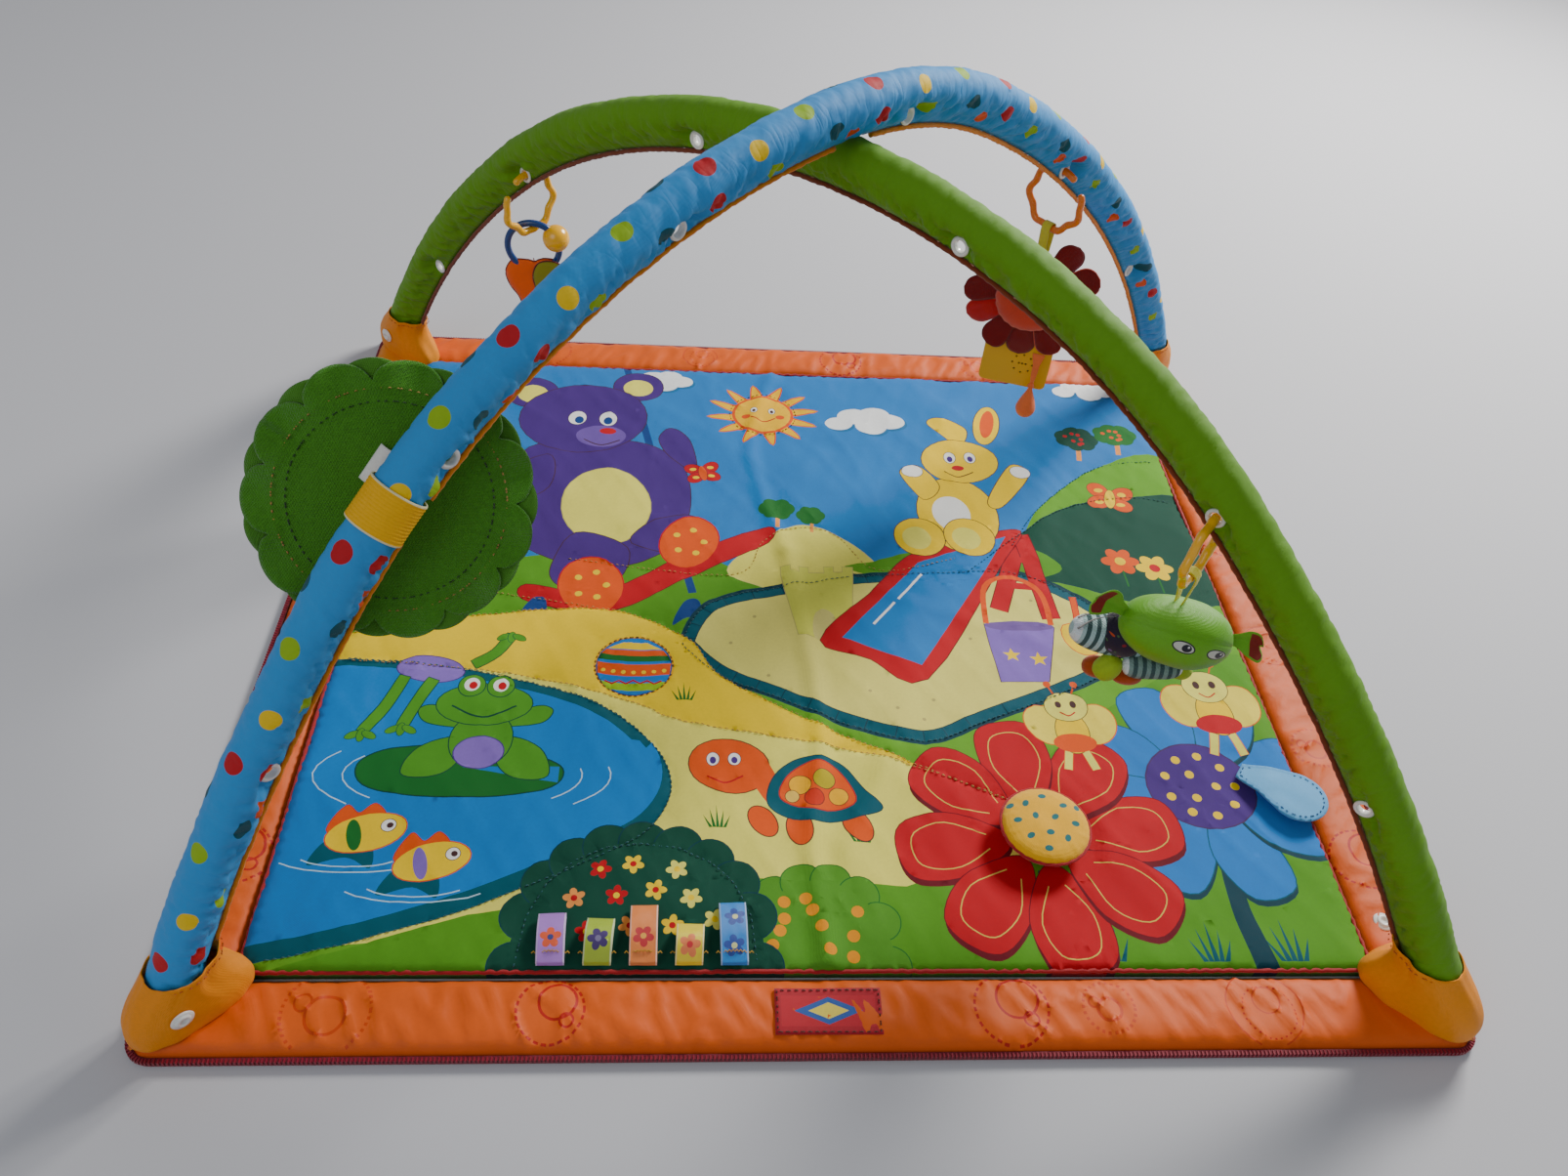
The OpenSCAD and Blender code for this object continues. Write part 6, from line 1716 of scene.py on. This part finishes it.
def pileCloth(name, threads=1000, rough=0.5, sheen=0.5, fuzz=0.9, gloss=0.5, weave=0.4):
    return cloth(name, attribute="printColour", threads=threads, weave=weave, rough=rough, sheen=sheen, fade=0.2, fleck=0.2,
        fuzz=fuzz, gloss=gloss)
velour = pileCloth("glossyVelour", rough=0.44, sheen=0.1, fuzz=0.5)
eyes = Print()
for x, w in ((-3, 8.5), (21.5, 9.0)):
    w = -w
    eyes.add(oval(x, w, 8.2, 4.2, -6, 30), paint(14, 18, 20))
    eyes.add(oval(x, w, 7.2, 3.3, -6, 30), paint(206, 208, 200))
    eyes.add(oval(x + 2.2, w - 0.2, 3.4, 2.7, -6, 22), paint(16, 22, 40))
    eyes.add(oval(x + 3.2, w + 0.8, 0.8, n=12), paint(230, 232, 232))
softPod("plushHead", ["plush_head"], velour, (3, -4, -45), 14, 40, 77, 22.6, 2.3, paint(104, 176, 14), eyes.shapes,
    grid=1.7, seams=(0.0, pi), seed=3.0, bulge=0.1)
knit = Print()
for k in range(16):
    x = -42 + 5.6 * k
    knit.add([(x, -60), (x + 2.7, -60), (x + 2.7, 60), (x, 60)], paint(66, 92, 92))
for x0, x1 in ((-43, -38.5), (38.5, 43)):
    knit.add([(x0, -60), (x1, -60), (x1, 60), (x0, 60)], paint(226, 236, 240))
stripedKnit = pileCloth("stripedKnit", threads=520, rough=0.85, sheen=0.08, fuzz=0.6, gloss=0.2, weave=0.9)
softPod("plushBody", ["plush_body"], stripedKnit, (-16, 8, -68), 12, 30, 88, 13.6, 4.0, paint(176, 204, 204),
    knit.shapes, grid=2.0, seams=(1.2, -2.2), seed=5.0, bend=-6)
softPod("plushArm", [], stripedKnit, (-3, -6, -77), -3, 25, 40, 8.6, 4.0, paint(128, 156, 150),
    [(shape, colour) for shape, colour in knit.shapes if max(p[0] for p in shape) < 17]
    + [([(-20, -40), (-16.5, -40), (-16.5, 40), (-20, 40)], paint(228, 238, 242)),
    ([(16.5, -40), (20, -40), (20, 40), (16.5, 40)], paint(228, 238, 242))], grid=1.8, seams=(1.4,), seed=6.0)
scarfPrint = Print()
for k in range(30):
    x, w = -26 + (k * 11.3) % 52, -30 + (k * 17.9) % 60
    scarfPrint.add(oval(x, w, 1.5, 1.1, k * 37, 10), paint(*((190, 70, 30), (140, 30, 40), (120, 90, 150))[k % 3]))
    scarfPrint.add(oval(x + 2.6, w + 2.2, 0.8, n=8), paint(70, 110, 60))
softPod("plushScarf", ["plush_scarf"], pileCloth("scarfCotton", threads=1200, rough=0.75, sheen=0.2, fuzz=0.2,
    gloss=0.3), (-26, 4.5, -60), 30, 20, 30, 14.6, 2.6, paint(40, 30, 52), scarfPrint.shapes, grid=2.0, seams=(2.5,), seed=7.0)
limePile = pileCloth("limePile", rough=0.7, sheen=0.1, gloss=0.3)
rimRed = Print()
rimRed.add([(-20, 19), (20, 19), (20, 28), (-20, 28)], paint(110, 20, 20))
rimRed.add([(-20, -28), (20, -28), (20, -19), (-20, -19)], paint(110, 20, 20))
for k, (mid, tilt) in enumerate((((-31, -5, -82), -60), ((19, 4, -86), 30))):
    softPod("plushPaw" + str(k), ["plush_paws"] if k == 0 else [], limePile, mid, tilt, 30, 21, 8.4, 2.4,
        paint(160, 190, 40), rimRed.shapes, grid=1.6, seams=(0.6,), seed=9.0 + k)
footPile = pileCloth("footPile", rough=0.8, sheen=0.4, gloss=0.2)
for k, mid in enumerate(((-34, 3, -91), (-14, 2, -95))):
    softPod("plushFoot" + str(k), [], footPile, mid, 8, 25, 23, 7.4, 2.2, paint(176, 74, 24), grid=1.8, seams=(0.3,),
        seed=11.0 + k)

def leafEar(name, side, stands):
    # a folded leaf: green outside, dark red inside, with a notch at its tip
    outline = curve([(-3.5, 0), (-6, 8), (-11.5, 17), (-12.5, 27), (-8, 33), (-3.5, 35), (-0.5, 30), (3.5, 35.5), (9, 32),
        (12.5, 25), (11, 15), (6, 7), (3.5, 0)], True, 5)
    outline = leftHanded(outline)
    innerShape = grow(outline, -2.0)
    vs, fs, cs = cutPrint(outline, paint(110, 178, 36), [], 1.5)
    vs2, fs2, cs2 = cutPrint(outline, paint(110, 178, 36), [([(x, y) for x, y in innerShape if y > 17], paint(136, 24, 18))], 1.5)
    root = Vector((3, -4, -45)) + Vector((side * 36 * cos(radians(14)), 0, -side * 36 * sin(radians(14)))) + Vector((0, 1, 4))
    def at(x, y, lift2):
        fold = 0.62
        lateral = x * cos(fold)
        deep = abs(x) * sin(fold) + lift2
        bow = y / 30.0  # the leaf arches over along its length
        outward, rise = 34 * sin(bow), 22 * (1 - cos(bow)) * -0.6
        up2 = Vector((side * 0.8, 0, 0.62 if side < 0 else 0.1))
        fwd = Vector((-0.2 * side, -0.85, 0.3))
        lat = up2.cross(fwd).normalized()
        p = root + up2 * outward + fwd * (-rise * 0.55 - 1.5 + deep * 0.8) + lat * lateral + Vector((0, 0, rise * 1.15))
        return onPlush(*p)
    gap, gap2 = (distanceTo([closeLine(outline)], np.array(q))[0] for q in (vs, vs2))
    a = [at(x, y, -1.3 * min(1, g / 2) ** 0.5 - 0.1) for (x, y), g in zip(vs, gap)]
    b = [at(x, y, 0.9 * min(1, g / 2) ** 0.5 + 0.1 + 0.25 * wobble(x / 4, y / 4, 2)) for (x, y), g in zip(vs2, gap2)]
    n = len(a)
    faces = [tuple(f) for f in fs] + [tuple(n + i for i in reversed(f)) for f in fs2]
    obj = makePiece(name, a + b, faces, [velourEar], "plush_toy", stands)
    dye(obj, cs + cs2)
    bm = openMesh(obj)
    edge = [e for e in bm.edges if len(e.link_faces) == 1]
    bmesh.ops.bridge_loops(bm, edges=edge)
    closeMesh(obj, bm)
velourEar = pileCloth("earVelour", rough=0.6, sheen=0.1, gloss=0.4)
leafEar("leafEarLeft", -1, ["plush_ears"])
leafEar("leafEarRight", 1, [])
ribbonThrough("plushRibbon", "plush_loop", gf, "plush_toy", 25, paint(226, 214, 40))
greyRibbon = cloth("greyRibbon", paint(136, 132, 130), threads=1600, ribs=3.0, weave=0.3, rough=0.45, sheen=0.2)
for k, end in enumerate(((-58, 2, -46), (-57, -1, -53))):
    smallSheet("ribbonEnd" + str(k), [onPlush(-34, 4, -42 - 2 * k), onPlush(-33, 7, -45 - 2 * k),
        onPlush(end[0], end[1] + 2.5, end[2] - 1.5), onPlush(*end)], 0.0004, greyRibbon, "plush_toy", bend=0.0025)
print("plush toy made")

# ---------- eyelets, studs and the parts that keep their CAD shape ----------

def lathe(vs, fs, mid, ax, ay, az, profile, around=48):  # adds a turned shape to a mesh's lists
    n0, m = len(vs), len(profile)
    for i in range(around):
        b = 2 * pi * i / around
        for r, z in profile:
            vs.append(mid + (ax * (r * cos(b)) + ay * (r * sin(b)) + az * z) / 1000)
    for i in range(around):
        for k in range(m):
            j, q = (i + 1) % around, (k + 1) % m
            fs.append((n0 + i * m + k, n0 + j * m + k, n0 + j * m + q, n0 + i * m + q))

enamel = plastic("eyeletEnamel", paint(236, 236, 232), rough=0.25, coat=0.5, grain=0.03)
rolled = [(3.6, -1.2), (3.6, 1.2), (3.9, 2.2), (4.6, 2.75), (5.5, 2.6), (6.3, 2.1), (6.5, 1.55), (6.0, 1.45), (4.4, 1.45),
    (4.4, -1.45), (6.0, -1.45), (6.5, -1.55), (6.3, -2.1), (5.5, -2.6), (4.6, -2.75), (3.9, -2.2)]
for name, node, body, both in (("greenEyelets", "green_eyelets", "green_arch", (gf, gb)),
        ("blueEyelets", "blue_eyelets", "blue_arch", (bf, bb))):
    vs, fs = [], []
    for leg in both:
        for angle in leg[4]:
            centre, out, crown, across = legFrame(leg, angle)
            lathe(vs, fs, (centre - out * 13.5) / 1000, out, crown, across, rolled)
    obj = makePiece(name, vs, fs, [enamel], body, [node])
    faceOut(obj)

studWhite = plastic("studPlastic", paint(236, 236, 230), rough=0.3, coat=0.3)
domed = [(0.05, 0.0), (6.6, 0.0), (7.0, 0.5), (6.5, 1.2), (5.2, 1.4), (4.6, 1.7), (4.4, 2.3), (3.6, 2.6), (2.4, 2.55), (2.0, 1.6),
    (0.05, 1.5)]
vs, fs = [], []
lathe(vs, fs, Vector((0.392, -0.300, 0.0104)), Vector((1, 0, 0)), Vector((0, 1, 0)), Vector((0, 0, 1)), domed)
for leg in (bf, gb):
    t = radians(leg[3])
    u, v = Vector((cos(t), sin(t), 0)), Vector((-sin(t), cos(t), 0))
    lathe(vs, fs, (u * (foot["reach"] - 9) + v * 18.2 + Vector((0, 0, 32))) / 1000, u, Vector((0, 0, 1)), v, domed)
obj = makePiece("whiteStuds", vs, fs, [studWhite], "mat", ["snap_buttons"])
faceOut(obj)

def dressNodes(nodes, material):
    for node in nodes:
        dressNode(node, material)
fibre = plastic("fibreglass", paint(44, 44, 46), rough=0.5, coat=0.0, grain=0.3)
dressNodes(["green_rod_front", "green_rod_back", "blue_rod_front", "blue_rod_back"], fibre)
dressNodes(["green_spigot", "blue_spigot"], plastic("spigotSteel", paint(176, 178, 182), rough=0.3, coat=0.0, metal=1.0))
dressNodes(["green_caps", "blue_caps"], plastic("capRubber", paint(30, 30, 30), rough=0.75, coat=0.0, grain=0.3))
dressNode("crown_snap", studWhite)
dressNode("cushion_squeaker", plastic("squeakerPlastic", paint(226, 226, 220), rough=0.4, coat=0.1))
mirrorFilm, mt, mb = baseMaterial("mirrorFilm")
mb.inputs["Metallic"].default_value = 1.0
mb.inputs["Base Color"].default_value = paint(224, 228, 232)
warp = noiseNode(mt, mt.nodes.new("ShaderNodeTexCoord").outputs["Object"], 26, 2)
mt.links.new(bumpNode(mt, warp, 0.08, 0.002), mb.inputs["Normal"])
mt.links.new(mathNode(mt, "MULTIPLY_ADD", warp, 0.06, 0.03), mb.inputs["Roughness"])
dressNode("pad_mirror", mirrorFilm)
print("small parts dressed")

# ---------- camera, light and stage ----------
camData = bpy.data.cameras.new("viewCamera")
cam = bpy.data.objects.new("viewCamera", camData)
bpy.context.scene.collection.objects.link(cam)
camData.lens, camData.sensor_width = 27.03, 36
camData.clip_start = 0.01
yaw, pitch, roll = radians(6.06), radians(44.57), radians(5.53)
ahead = Vector((sin(yaw) * cos(pitch), cos(yaw) * cos(pitch), -sin(pitch)))
level = ahead.cross(Vector((0, 0, 1))).normalized()
over = level.cross(ahead)
right = level * cos(roll) + over * sin(roll)
upward = over * cos(roll) - level * sin(roll)
cam.matrix_world = Matrix((( right.x, upward.x, -ahead.x, -0.0899), (right.y, upward.y, -ahead.y, -0.7005),
    (right.z, upward.z, -ahead.z, 0.7209), (0, 0, 0, 1)))
bpy.context.scene.camera = cam

bpy.ops.mesh.primitive_plane_add(size=12, location=(0, 2, 0))
floor = bpy.context.active_object
floor.name = "studioFloor"
floorMat, _, fb = baseMaterial("studioFloor")
fb.inputs["Base Color"].default_value = paint(196, 197, 202)
fb.inputs["Roughness"].default_value = 0.75
floor.data.materials.append(floorMat)

def lamp(name, kind, place, aim, power, size, tint=(1, 1, 1)):
    data = bpy.data.lights.new(name, kind)
    data.energy, data.color = power, tint
    if kind == "AREA":
        data.size = size
    obj = bpy.data.objects.new(name, data)
    bpy.context.scene.collection.objects.link(obj)
    obj.location = place
    obj.rotation_euler = (Vector(aim) - Vector(place)).to_track_quat("-Z", "Y").to_euler()
lamp("windowLight", "AREA", (1.5, 1.4, 1.45), (0, 0, 0.1), 84, 0.7, (1, 0.97, 0.92))
lamp("fillLight", "AREA", (-1.3, -1.6, 1.9), (0, 0, 0.1), 13, 1.6)
world = bpy.data.worlds.new("studio")
bpy.context.scene.world = world
world.use_nodes = True
world.node_tree.nodes["Background"].inputs[0].default_value = (0.9, 0.93, 1, 1)
world.node_tree.nodes["Background"].inputs[1].default_value = 0.34
